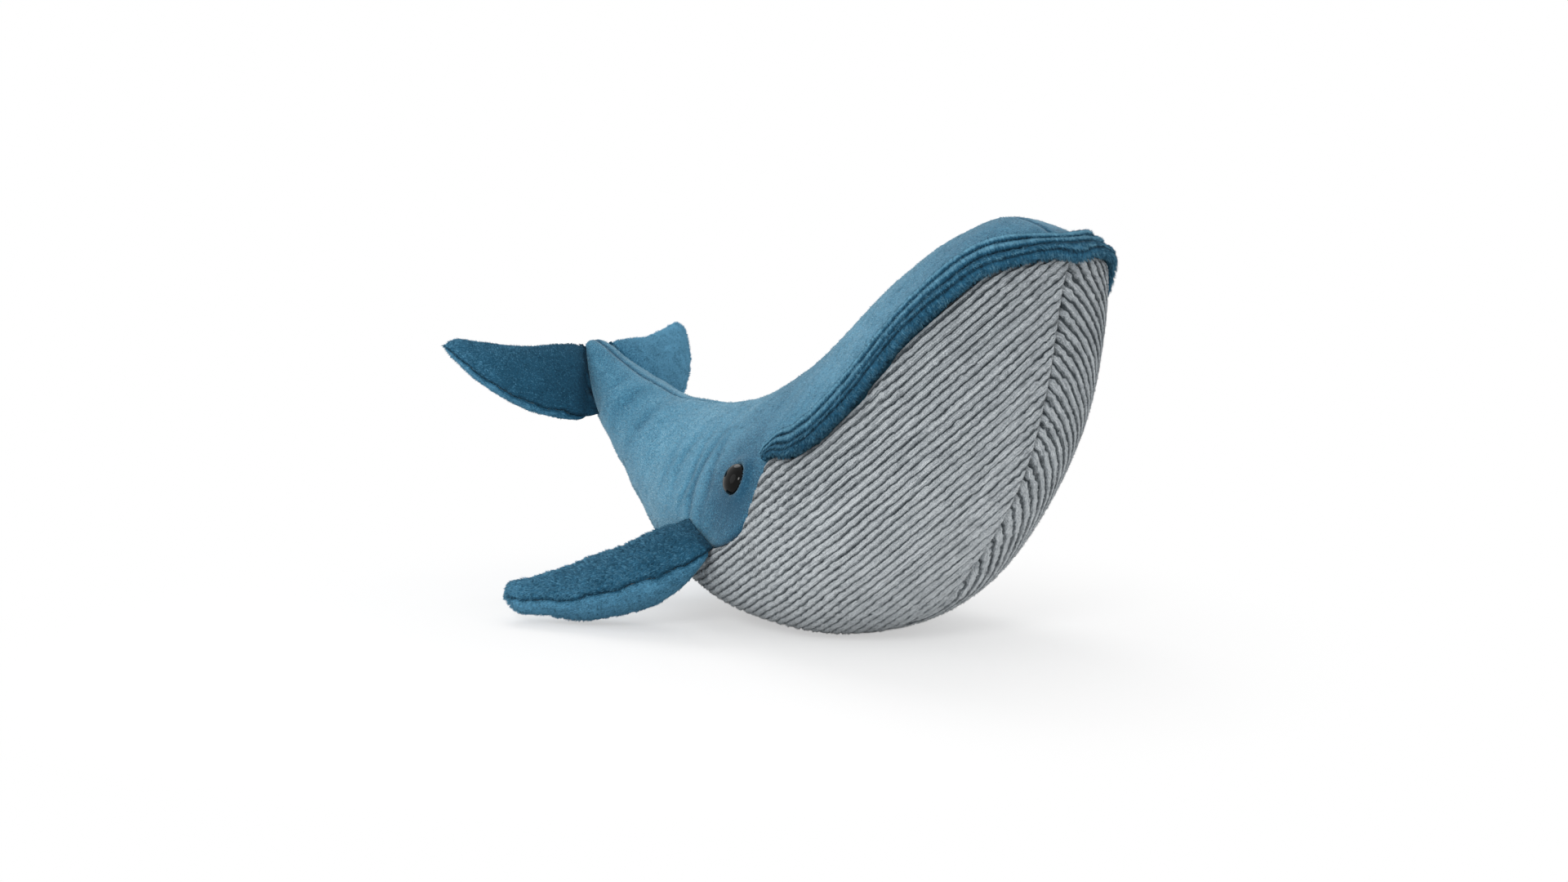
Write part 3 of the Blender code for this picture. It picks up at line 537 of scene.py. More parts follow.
def add_sheet(mesh: SoftMesh, outer: Grid, inner: np.ndarray) -> None:
    """Add a sheet of cloth: its fine outer wall, its coarser inner wall and its rim.

    Args:
        mesh: The mesh to add to.
        outer: The outer wall.
        inner: The inner wall's points, one for each STRIDE points of the outer wall.
    """
    rows, columns = outer.points.shape[:2]
    flip = turned(outer.points, outer.normals)
    tuft = np.zeros(outer.points.shape)
    tuft[..., 1], tuft[..., 2] = PLAIN_TONE, outer.relief
    first = mesh.add_points(outer.points, outer.normals, tuft, detail=outer.detail)
    mesh.add_faces(quads(rows, columns, first), quad_places(rows - 1, columns - 1, *OUTER_PATCH), flip)
    deep = np.zeros(inner.shape)
    # The inner wall has the cloth's own tone and half the painted shade of the deepest crease.
    deep[..., 1:] = PLAIN_TONE
    back = mesh.add_points(inner, -outer.normals[::STRIDE, ::STRIDE], deep)
    in_rows, in_columns = inner.shape[:2]
    inner_places = quad_places(in_rows - 1, in_columns - 1, *INNER_PATCH)
    mesh.add_faces(quads(in_rows, in_columns, back), inner_places, not flip)
    front = first + np.arange(rows * columns).reshape(rows, columns)
    behind = back + np.arange(in_rows * in_columns).reshape(in_rows, in_columns)
    for edge, below, turn in ((front[:, 0], behind[:, 0], True), (front[:, -1], behind[:, -1], False),
                              (front[0], behind[0], False), (front[-1], behind[-1], True)):
        pieces = len(below) - 1
        starts = np.arange(pieces) * STRIDE
        outside = np.stack([edge[starts + k] for k in range(STRIDE + 1)], -1)
        faces = np.concatenate([outside, below[1:, None], below[:-1, None]], -1)
        t = np.linspace(0, 1, STRIDE + 1)
        shape = np.concatenate([np.stack([t, 0 * t], -1), [[1, 1], [0, 1]]])
        places = (shape[None] + np.stack([np.arange(pieces), np.zeros(pieces)], -1)[:, None]) / [pieces, 1]
        low, high = (np.array(corner) for corner in RIM_PATCH)
        mesh.add_faces(faces, low + places * (high - low), turn != flip)


def weld(obj: bpy.types.Object) -> None:
    """Merge points that coincide, as at the ends of the tail and the snout.

    Args:
        obj: The object.
    """
    work = bmesh.new()
    work.from_mesh(obj.data)
    bmesh.ops.remove_doubles(work, verts=work.verts[:], dist=MERGE)
    bmesh.ops.dissolve_degenerate(work, edges=work.edges[:], dist=MERGE / 10)
    work.to_mesh(obj.data)
    work.free()


def sew(name: str, wall: Grid, inner: np.ndarray) -> bpy.types.Object:
    """Make a sheet of cloth.

    Args:
        name: Its name.
        wall: Its outer wall.
        inner: Its inner wall's points.

    Returns:
        The cloth, with its doubles merged.
    """
    mesh = SoftMesh()
    add_sheet(mesh, wall, inner)
    cloth = mesh.make(name)
    weld(cloth)
    return cloth


@dataclass(frozen=True)
class Pile:
    """The fibres that stand on a cloth, drawn as small closed spikes in tufts."""

    length: float
    width: float
    lean: float  # 0 upright to 1 flat along the nap
    per_mm2: float
    spread: float = 0.35  # how far fibres stray from the nap
    softness: float = 0.72  # share of the cloth's own direction in the fibres' shading
    clump: float = 7 * MM  # size of the patches in which fibres lean together
    clump_gain: float = 1.2  # how far they lean together, by the fibres' own straying
    tuft: float = 1.6 * MM  # distance between the tufts into which the tips draw together
    drawn: float = 0.35  # how far they draw together
    tuft_tone: float = 0.6  # share of a fibre's tone that it has from its tuft
    thin: float = 0.35  # how much shorter the fibres are in a crease
    least_rise: float = 0.12  # how steeply the flattest fibre still stands
    lengths: tuple[float, float] = (0.65, 1.1)  # the shortest and the longest, as shares
    widths: tuple[float, float] = (0.7, 1.2)
    nudge: float = 1e-6  # gives a fibre that stands upright a side

    def tufts(self, roots: np.ndarray, count: int, area: float) -> np.ndarray:
        """The fibre in the middle of each fibre's tuft.

        Args:
            roots: The fibres' roots, in no order.
            count: How many there are.
            area: The area on which they stand.

        Returns:
            The middle fibre's number for each fibre.
        """
        middles = min(count, max(1, round(area / self.tuft**2)))
        tree = KDTree(middles)
        for number, root in enumerate(roots[:middles].tolist()):
            tree.insert(root, number)
        tree.balance()
        return np.array([tree.find(root)[1] for root in roots.tolist()], int)

    def grow(self, grid: Grid, keep: np.ndarray, seed: int) -> SoftMesh:
        """Grow the fibres on a grid.

        Args:
            grid: The outer wall.
            keep: Share of the fibres that each point of the grid keeps.
            seed: Picks their places.

        Returns:
            A mesh of closed spikes.
        """
        rng = np.random.default_rng(seed)
        p = grid.points
        along, around = p[1:, :-1] - p[:-1, :-1], p[:-1, 1:] - p[:-1, :-1]
        area = np.linalg.norm(np.cross(along, around), axis=-1) * keep[:-1, :-1]
        reach = np.cumsum(area.ravel())
        count = int(reach[-1] * self.per_mm2 / MM**2)
        cell = np.searchsorted(reach, rng.random(count) * reach[-1])
        i, j = np.divmod(np.minimum(cell, area.size - 1), area.shape[1])
        a, b = rng.random((2, count, 1))

        def at(values: np.ndarray) -> np.ndarray:
            """Values of the grid at the fibres' roots.

            Args:
                values: Values at the grid's points.

            Returns:
                A value for each fibre.
            """
            near = values[i, j] * (1 - a) + values[i + 1, j] * a
            far = values[i, j + 1] * (1 - a) + values[i + 1, j + 1] * a
            return near * (1 - b) + far * b

        root, normal, nap = at(p), unit(at(grid.normals)), at(grid.nap)
        relief = at(grid.relief[..., None])
        stray = rng.normal(size=(count, 3)) * self.spread
        for axis in range(3):
            stray[:, axis] += ripple(root, self.clump, 31 + axis) * self.spread * self.clump_gain
        way = nap * self.lean + normal * (1 - self.lean) + stray
        way -= normal * np.minimum(dot(way, normal) - self.least_rise, 0)
        way = unit(way)
        long = self.length * rng.uniform(*self.lengths, (count, 1)) * (1 - self.thin * relief)
        side = unit(np.cross(way, normal) + self.nudge)
        other = np.cross(way, side)
        half = self.width / 2 * rng.uniform(*self.widths, (count, 1))
        base = root - normal * self.width / 2
        own = self.tufts(root, count, float(reach[-1]))
        tips = root + way * long
        tips += (tips[own] - tips) * self.drawn
        turns = ((1, 0), (-0.5, 0.87), (-0.5, -0.87))  # the three corners of a spike's foot
        spots = np.stack([*(base + side * half * x + other * half * y for x, y in turns), tips], 1)
        spots[..., 2] = np.maximum(spots[..., 2], FLOOR_CLEARANCE)
        tuft = np.zeros((count, 4, 3))
        tuft[:, 3, 0] = 1
        tone = rng.random((count, 1))
        tuft[..., 1] = tone + (tone[own] - tone) * self.tuft_tone
        tuft[..., 2] = relief
        shade = unit(normal * self.softness + way * (1 - self.softness))
        detail = None if grid.detail is None else np.repeat(at(grid.detail)[:, None], 4, 1)
        mesh = SoftMesh()
        first = mesh.add_points(spots, np.repeat(shade[:, None], 4, 1), tuft,
                                rest=np.repeat(root[:, None], 4, 1), detail=detail)
        corners = np.array([(0, 1, 3), (1, 2, 3), (2, 0, 3), (0, 2, 1)])
        faces = first + 4 * np.arange(count)[:, None, None] + corners
        low, high = (np.array(corner) for corner in OUTER_PATCH)
        share = (np.stack([i, j], -1) + np.concatenate([a, b], -1)) / np.array(area.shape)
        centre = low + share * (high - low)
        offsets = FIBRE_PATCH * np.array([(0, 0), (1, 0), (0.5, 1)])
        places = np.clip(centre[:, None, None] + offsets, *FIBRE_ROOM)
        places = np.broadcast_to(places, (count, 4, 3, 2)).reshape(-1, 3, 2)
        signed = np.sum(np.cross(spots[:, 1] - spots[:, 0], spots[:, 2] - spots[:, 0]) * way)
        mesh.add_faces(faces.reshape(-1, 3), places, flip=bool(signed < 0))
        return mesh


def with_pile(cloth: bpy.types.Object, pile: SoftMesh) -> None:
    """Join a pile to its cloth, and shade both by the directions that they were given.

    Args:
        cloth: The cloth's object.
        pile: The fibres.
    """
    count = len(cloth.data.vertices)
    ways = np.zeros(count * 3, np.float32)
    cloth.data.vertex_normals.foreach_get("vector", ways)
    fibres = pile.make(cloth.name + "_fibres")
    only(cloth, fibres)
    bpy.ops.object.join()
    ways = np.concatenate([ways.reshape(-1, 3), np.concatenate(pile.normals)])
    cloth.data.normals_split_custom_set_from_vertices(ways.tolist())


# Finishes


def colour(code: str) -> tuple[float, float, float, float]:
    """Turn an sRGB hex code into a linear colour.

    Args:
        code: Six hex digits after a #.

    Returns:
        Red, green, blue and 1.
    """
    parts = [int(code[k:k + 2], 16) / 255 for k in (1, 3, 5)]
    linear = [c / 12.92 if c <= 0.04045 else ((c + 0.055) / 1.055) ** 2.4 for c in parts]
    return (*linear, 1.0)


def add_node(tree: bpy.types.NodeTree, kind: str, settings: dict | None = None,
             links: dict | None = None) -> bpy.types.Node:
    """Add a node with its settings and links.

    Args:
        tree: The node tree.
        kind: The node's type, without the word ShaderNode.
        settings: Properties by name, socket values by socket name or number, and a colour
            ramp's places and hex colours as "stops".
        links: Output sockets by input socket name or number.

    Returns:
        The node.
    """
    node = tree.nodes.new("ShaderNode" + kind)
    for key, value in (settings or {}).items():
        if key == "stops":
            elements = node.color_ramp.elements
            while len(elements) < len(value):
                elements.new(value[len(elements) - 1][0])
            for element, (place, code) in zip(elements, value):
                element.position, element.color = place, colour(code)
        elif isinstance(key, str) and hasattr(node, key):
            setattr(node, key, value)
        else:
            node.inputs[key].default_value = value
    for key, socket in (links or {}).items():
        tree.links.new(socket, node.inputs[key])
    return node


def new_tree(name: str) -> tuple[bpy.types.Material, bpy.types.NodeTree, bpy.types.Node]:
    """Start a material.

    Args:
        name: Its name.

    Returns:
        The material, its empty tree and its output node.
    """
    made = bpy.data.materials.new(name)
    made.use_nodes = True
    tree = made.node_tree
    tree.nodes.clear()
    return made, tree, add_node(tree, "OutputMaterial")


def dress(output: bpy.types.Node, settings: dict, stops: tuple[tuple[float, str], ...],
          tone: bpy.types.NodeSocket, links: dict) -> None:
    """Lay a shader on a material.

    Args:
        output: The material's output node.
        settings: The shader's values by socket name.
        stops: Places and hex colours among the tones.
        tone: The socket that picks the colour.
        links: Output sockets for the shader's other inputs.
    """
    tree = output.id_data
    base = add_node(tree, "ValToRGB", {"stops": stops}, {0: tone}).outputs["Color"]
    shader = add_node(tree, "BsdfPrincipled", settings, {"Base Color": base, **links})
    tree.links.new(shader.outputs[0], output.inputs["Surface"])


def summed(tree: bpy.types.NodeTree, start: float,
           layers: list[tuple[float, bpy.types.NodeSocket]]) -> bpy.types.NodeSocket:
    """Add up a cloth's layers of tone.

    Args:
        tree: The node tree.
        start: The tone before the layers, which the first of them is added to.
        layers: The gain and the socket of each layer.

    Returns:
        The socket of the sum.
    """
    node = None
    for gain, layer in layers:
        links = {0: layer, 2: node.outputs[0]} if node else {0: layer}
        node = add_node(tree, "Math", {"operation": "MULTIPLY_ADD", 1: gain, 2: start}, links)
    return node.outputs[0]


@dataclass(frozen=True)
class Plush:
    """Minky plush: knitted polyester with a short brushed pile.

    The pile gives the eye a matt, soft colour that is drawn darker where one looks down
    between the fibres and lighter at their tips as painted shade, and is lightest at a grazing angle.
    """

    name: str
    deep: str
    middle: str
    light: str
    sheen: str
    grain: float = 0.9 * MM  # a tuft of fibres
    mottle: float = 13 * MM  # where a hand has stroked the pile one way or the other
    start: float = 0.02  # the tone before the gains below
    tip_gain: float = 0.30  # how much lighter a fibre is at its tip than at its root: painted shade between the fibres
    tone_gain: float = 0.20  # how much fibres differ
    grain_gain: float = 0.46
    mottle_gain: float = 0.22
    crease_gain: float = 0.35  # painted shade: how much darker the creases are
    streak_gain: float = 0.0  # how much the rows of fibres across a roll differ
    streak: float = 0.9 * MM
    streak_stretch: float = 0.12  # a streak's width, as a share of its length
    places: tuple[float, float, float] = (0.10, 0.52, 0.95)  # of the three colours among the tones
    roughness: float = 0.93
    specular: float = 0.15
    sheen_weight: float = 0.3
    sheen_roughness: float = 0.45
    bump_height: float = 0.3 * MM
    bump_strength: float = 0.55

    def build(self) -> bpy.types.Material:
        """Build the material.

        Returns:
            The material.
        """
        made, tree, output = new_tree(self.name)
        rest, tuft = (add_node(tree, "Attribute", {"attribute_name": word}).outputs["Vector"]
                      for word in ("rest", "tuft"))
        parts = add_node(tree, "SeparateXYZ", links={0: tuft}).outputs
        grain = add_node(tree, "TexNoise", {"Scale": 1 / self.grain, "Detail": 3.0, "Roughness": 0.6},
                         {"Vector": rest}).outputs["Fac"]
        mottle = add_node(tree, "TexNoise", {"Scale": 1 / self.mottle, "Detail": 2.0},
                          {"Vector": rest}).outputs["Fac"]
        # Painted shade at the fibres' roots, and painted shade and light from the relief, among the fibres' own
        # tones, grain and mottle.
        layers = [(self.tip_gain, parts[0]), (self.tone_gain, parts[1]), (self.grain_gain, grain),
                  (self.mottle_gain, mottle), (-self.crease_gain, parts[2])]
        if self.streak_gain:
            detail = add_node(tree, "Attribute", {"attribute_name": "detail"}).outputs["Vector"]
            place = add_node(tree, "VectorMath", {
                "operation": "MULTIPLY", 1: (1, self.streak_stretch, 1),
            }, {0: detail}).outputs[0]
            streaks = add_node(tree, "TexNoise", {"Scale": 1 / self.streak, "Detail": 2.0},
                               {"Vector": place}).outputs["Fac"]
            centred = add_node(tree, "Math", {"operation": "SUBTRACT", 1: 0.5}, {0: streaks})
            layers.append((self.streak_gain, centred.outputs[0]))
        stops = tuple(zip(self.places, (self.deep, self.middle, self.light)))
        relief = add_node(tree, "Bump", {"Strength": self.bump_strength, "Distance": self.bump_height},
                          {"Height": grain}).outputs["Normal"]
        dress(output, {
            "Roughness": self.roughness, "Specular IOR Level": self.specular,
            "Sheen Weight": self.sheen_weight, "Sheen Roughness": self.sheen_roughness,
            "Sheen Tint": colour(self.sheen),
        }, stops, summed(tree, self.start, layers), {"Normal": relief})
        return made


@dataclass(frozen=True)
class Corduroy:
    """Wide-rib corduroy: cotton ground with a cut polyester pile standing in ribs.

    The eye sees broad light ribs of tufts and narrow dark lines where the ground shows, darkened further by
    painted shade, and each rib has a painted shaded lower side.
    """

    name: str = "corduroy_grey_woven"
    groove: str = "#2E3438"
    rib: str = "#888E92"
    crest: str = "#BFC4C7"
    sheen: str = "#D5DADD"
    places: tuple[float, float, float] = (0.06, 0.60, 0.95)  # of the three colours among the tones
    tuft_size: float = 0.6 * MM
    patch: float = 14 * MM  # where the pile is rubbed a little lighter or darker
    streaks_per_rib: float = 8.0
    streak: float = 2.2 * MM  # length of the streaks along a rib
    frays_per_rib: float = 2.2
    fray: float = 2.6 * MM  # length of the tufts that hang over a groove
    fray_share: float = 0.56  # how far they reach, as a share of a rib
    # Painted light and shade: between which shares of a rib its shaded lower side ends and its lit upper side
    # falls away.
    shoulders: Pairs = ((0.06, 0.47), (1.0, 0.89))
    start: float = -0.93  # the tone before the gains below
    painted_rib_light_gain: float = 0.54  # painted light and shade: how much lighter a rib's crest is than its shaded sides
    grain_gain: float = 2.05
    patch_gain: float = 0.14
    tone_gain: float = 0.10  # how much fibres differ
    crease_gain: float = 0.15  # how much darker the relief draws it: painted shade in the grooves, the seam, the tuck and along the border, and painted light and shade by height
    roughness: float = 0.95
    specular: float = 0.12
    sheen_weight: float = 0.15
    sheen_roughness: float = 0.5
    bump_height: float = 0.5 * MM
    bump_strength: float = 0.6

    def build(self) -> bpy.types.Material:
        """Build the material.

        Returns:
            The material.
        """
        made, tree, output = new_tree(self.name)
        rest, tuft, detail = (add_node(tree, "Attribute", {"attribute_name": word}).outputs["Vector"]
                              for word in ("rest", "tuft", "detail"))
        parts = add_node(tree, "SeparateXYZ", links={0: tuft}).outputs
        phase = add_node(tree, "SeparateXYZ", links={0: detail}).outputs[0]
        streaks, fray = (
            add_node(tree, "TexNoise", {"Scale": 1.0, "Detail": 3.0, "Roughness": 0.65}, {
                "Vector": add_node(tree, "VectorMath", {
                    "operation": "MULTIPLY", 1: (per_rib, 1 / length, 1),
                }, {0: detail}).outputs[0],
            }).outputs["Fac"]
            for per_rib, length in ((self.streaks_per_rib, self.streak), (self.frays_per_rib, self.fray)))
        specks = add_node(tree, "TexNoise", {
            "Scale": 1 / self.tuft_size, "Detail": 2.0, "Roughness": 0.6,
        }, {"Vector": rest}).outputs["Fac"]
        both = add_node(tree, "Math", {"operation": "ADD"}, {0: streaks, 1: specks}).outputs[0]
        grain = add_node(tree, "Math", {"operation": "MULTIPLY", 1: 0.5}, {0: both}).outputs[0]
        shifted = add_node(tree, "Math", {"operation": "MULTIPLY_ADD", 1: self.fray_share},
                           {0: fray, 2: phase}).outputs[0]
        centred = add_node(tree, "Math", {"operation": "ADD", 1: -self.fray_share / 2},
                           {0: shifted}).outputs[0]
        place = add_node(tree, "Math", {"operation": "FRACT"}, {0: centred}).outputs[0]
        # Painted light and shade across each rib: its lower side shaded, its upper side lit.
        lower, upper = (
            add_node(tree, "MapRange", {
                "From Min": low, "From Max": high, "interpolation_type": "SMOOTHSTEP",
            }, {0: place}).outputs[0]
            for low, high in self.shoulders)
        rib = add_node(tree, "Math", {"operation": "MULTIPLY"}, {0: lower, 1: upper}).outputs[0]
        patch = add_node(tree, "TexNoise", {"Scale": 1 / self.patch, "Detail": 1.0},
                         {"Vector": rest}).outputs["Fac"]
        # The tone holds painted light and shade across the ribs and from the relief, beside grain, patches and
        # the fibres' own tones.
        tone = summed(tree, self.start, [
            (self.painted_rib_light_gain, rib), (self.grain_gain, grain), (self.patch_gain, patch),
            (self.tone_gain, parts[1]), (-self.crease_gain, parts[2])])
        stops = tuple(zip(self.places, (self.groove, self.rib, self.crest)))
        relief = add_node(tree, "Bump", {"Strength": self.bump_strength, "Distance": self.bump_height},
                          {"Height": grain}).outputs["Normal"]
        dress(output, {
            "Roughness": self.roughness, "Specular IOR Level": self.specular,
            "Sheen Weight": self.sheen_weight, "Sheen Roughness": self.sheen_roughness,
            "Sheen Tint": colour(self.sheen),
        }, stops, tone, {"Normal": relief})
        return made


@dataclass(frozen=True)
class FibreFill:
    """Carded polyester fibre: white, matt and cloudy, with fine crossing fibres."""

    name: str = "polyester_fibre_fill"
    shade: str = "#C9CBC8"
    bright: str = "#F3F3EF"
    tangle: float = 4 * MM  # size of a cloud of fibres
    bump_height: float = 0.8 * MM

    def build(self) -> bpy.types.Material:
        """Build the material.

        Returns:
            The material.
        """
        made, tree, output = new_tree(self.name)
        place = add_node(tree, "Attribute", {"attribute_name": "rest"}).outputs["Vector"]
        cloud = add_node(tree, "TexNoise", {"Scale": 1 / self.tangle, "Detail": 6.0, "Distortion": 1.6},
                         {"Vector": place}).outputs["Fac"]
        relief = add_node(tree, "Bump", {"Strength": 0.8, "Distance": self.bump_height},
                          {"Height": cloud}).outputs["Normal"]
        dress(output, {
            "Roughness": 0.96, "Specular IOR Level": 0.2, "Sheen Weight": 0.3, "Sheen Roughness": 0.5,
        }, ((0.25, self.shade), (0.7, self.bright)), cloud, {"Normal": relief})
        return made


@dataclass(frozen=True)
class PouchCloth:
    """Unbleached cotton calico, plain-woven, with the pellets pressing through it."""

    name: str = "calico_woven"
    warp: str = "#D8CFBB"
    weft: str = "#B9AE98"
    thread: float = 0.7 * MM  # drawn coarser than the real 0.4 mm, so that the weave shows
    pellet: float = 3.2 * MM
    press: float = 2.5  # how much the pellets stand out beside the threads
    bump_height: float = 0.6 * MM

    def build(self) -> bpy.types.Material:
        """Build the material.

        Returns:
            The material.
        """
        made, tree, output = new_tree(self.name)
        place = add_node(tree, "Attribute", {"attribute_name": "rest"}).outputs["Vector"]
        settings = {"Scale": 1 / self.thread / (2 * math.pi), "Distortion": 0.6, "Detail": 1.0}
        threads = [add_node(tree, "TexWave", {"bands_direction": way, **settings},
                            {"Vector": place}).outputs["Fac"] for way in "XY"]
        weave = add_node(tree, "Math", {"operation": "MULTIPLY"},
                         {0: threads[0], 1: threads[1]}).outputs[0]
        pellets = add_node(tree, "TexVoronoi", {"Scale": 1 / self.pellet},
                           {"Vector": place}).outputs["Distance"]
        height = add_node(tree, "Math", {"operation": "MULTIPLY_ADD", 1: -self.press},
                          {0: pellets, 2: weave}).outputs[0]
        relief = add_node(tree, "Bump", {"Strength": 0.7, "Distance": self.bump_height},
                          {"Height": height}).outputs["Normal"]
        dress(output, {"Roughness": 0.9, "Specular IOR Level": 0.3},
              ((0.0, self.weft), (0.8, self.warp)), weave, {"Normal": relief})
        return made


@dataclass(frozen=True)
class EyePlastic:
    """Black acrylic, injection moulded and polished, with faint haze under the gloss."""

    name: str = "acrylic_black_moulded"
    black: str = "#040404"
    haze: str = "#0A0908"
    cloud: float = 3 * MM
    scratch: float = 0.9 * MM
    index: float = 1.49
    specular: float = 0.13  # low, because a pale room is all round the eye

    def build(self) -> bpy.types.Material:
        """Build the material.

        Returns:
            The material.
        """
        made, tree, output = new_tree(self.name)
        place = add_node(tree, "TexCoord").outputs["Object"]
        cloud, scratch = (
            add_node(tree, "TexNoise", {"Scale": 1 / size, "Detail": 2.0},
                     {"Vector": place}).outputs["Fac"]
            for size in (self.cloud, self.scratch))
        rough = add_node(tree, "MapRange", {"To Min": 0.04, "To Max": 0.09}, {0: scratch}).outputs[0]
        dress(output, {"IOR": self.index, "Specular IOR Level": self.specular},
              ((0.3, self.black), (0.8, self.haze)), cloud, {"Roughness": rough})
        return made


@dataclass(frozen=True)
class WasherPlastic:
    """White polyethylene, injection moulded: waxy, with a faint flow pattern."""

    name: str = "polyethylene_white_moulded"
    low: str = "#DAD9D2"
    high: str = "#EFEEE8"
    flow: float = 4 * MM
    index: float = 1.51

    def build(self) -> bpy.types.Material:
        """Build the material.

        Returns:
            The material.
        """
        made, tree, output = new_tree(self.name)
        place = add_node(tree, "TexCoord").outputs["Object"]
        flow = add_node(tree, "TexNoise", {"Scale": 1 / self.flow, "Detail": 3.0, "Distortion": 0.8},
                        {"Vector": place}).outputs["Fac"]
        rough = add_node(tree, "MapRange", {"To Min": 0.38, "To Max": 0.5}, {0: flow}).outputs[0]
        dress(output, {"IOR": self.index}, ((0.3, self.low), (0.7, self.high)), flow, {"Roughness": rough})
        return made


# Pieces


def report(obj: bpy.types.Object) -> None:
    """Log a finished piece."""
    obj.data.calc_loop_triangles()
    LOG.info("%s: %d triangles", obj.name, len(obj.data.loop_triangles))


def finish_piece(obj: bpy.types.Object, material: bpy.types.Material, nodes: tuple[str, ...]) -> bpy.types.Object:
    """Give a piece its material and hide the nodes that it replaces.

    Args:
        obj: The piece.
        material: Its material.
        nodes: The nodes that it replaces.

    Returns:
        The piece.
    """
    obj.data.materials.clear()
    obj.data.materials.append(material)
    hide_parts(*nodes)
    report(obj)
    return obj


@dataclass(frozen=True)
class EyeSocket:
    """Where an eye sits, and how the plush rises round it."""

    row: float = 8.32
    share: float = 0.360
    radius: float = 9 * MM
    lid_height: float = 2.2 * MM
    lid_radius: float = 11.5 * MM
    lid_width: float = 2.8 * MM
    lid_reach: float = 40 * MM  # no lid beyond this, on the other side of the head
    lid_share: float = 0.55  # of the height, all round
    lid_lean: tuple[float, float, float] = (0, -0.5, 0.25)  # where it is higher than that
    lid_limits: tuple[float, float] = (0.15, 1.2)

    @property
    def centre(self) -> np.ndarray:
        """The eye's middle on the left side of the body."""
        return BODY.points(np.array(self.row), np.array(self.share))

    @property
    def outward(self) -> np.ndarray:
        """The eye's outward direction on the left side."""
        return BODY.normals(np.array(self.row), np.array(self.share))

    def distance(self, points: np.ndarray) -> np.ndarray:
        """Distances of points on the left side from the eye's axis."""
        away = points - self.centre
        return np.linalg.norm(away - dot(away, self.outward) * self.outward, axis=-1)

    def lid(self, points: np.ndarray) -> np.ndarray:
        """How far the plush is pushed out round the eye, most on the side of the mouth.

        Args:
            points: Points on the left side.

        Returns:
            The heights.
        """
        away = points - self.centre
        flat = unit(away - dot(away, self.outward) * self.outward)
        share = np.clip(self.lid_share + flat @ np.array(self.lid_lean), *self.lid_limits)
        near = np.linalg.norm(away, axis=-1) < self.lid_reach
        ring = bump(self.distance(points) - self.lid_radius, self.lid_width)
        return np.where(near, ring * self.lid_height * share, 0)


SOCKET = EyeSocket()


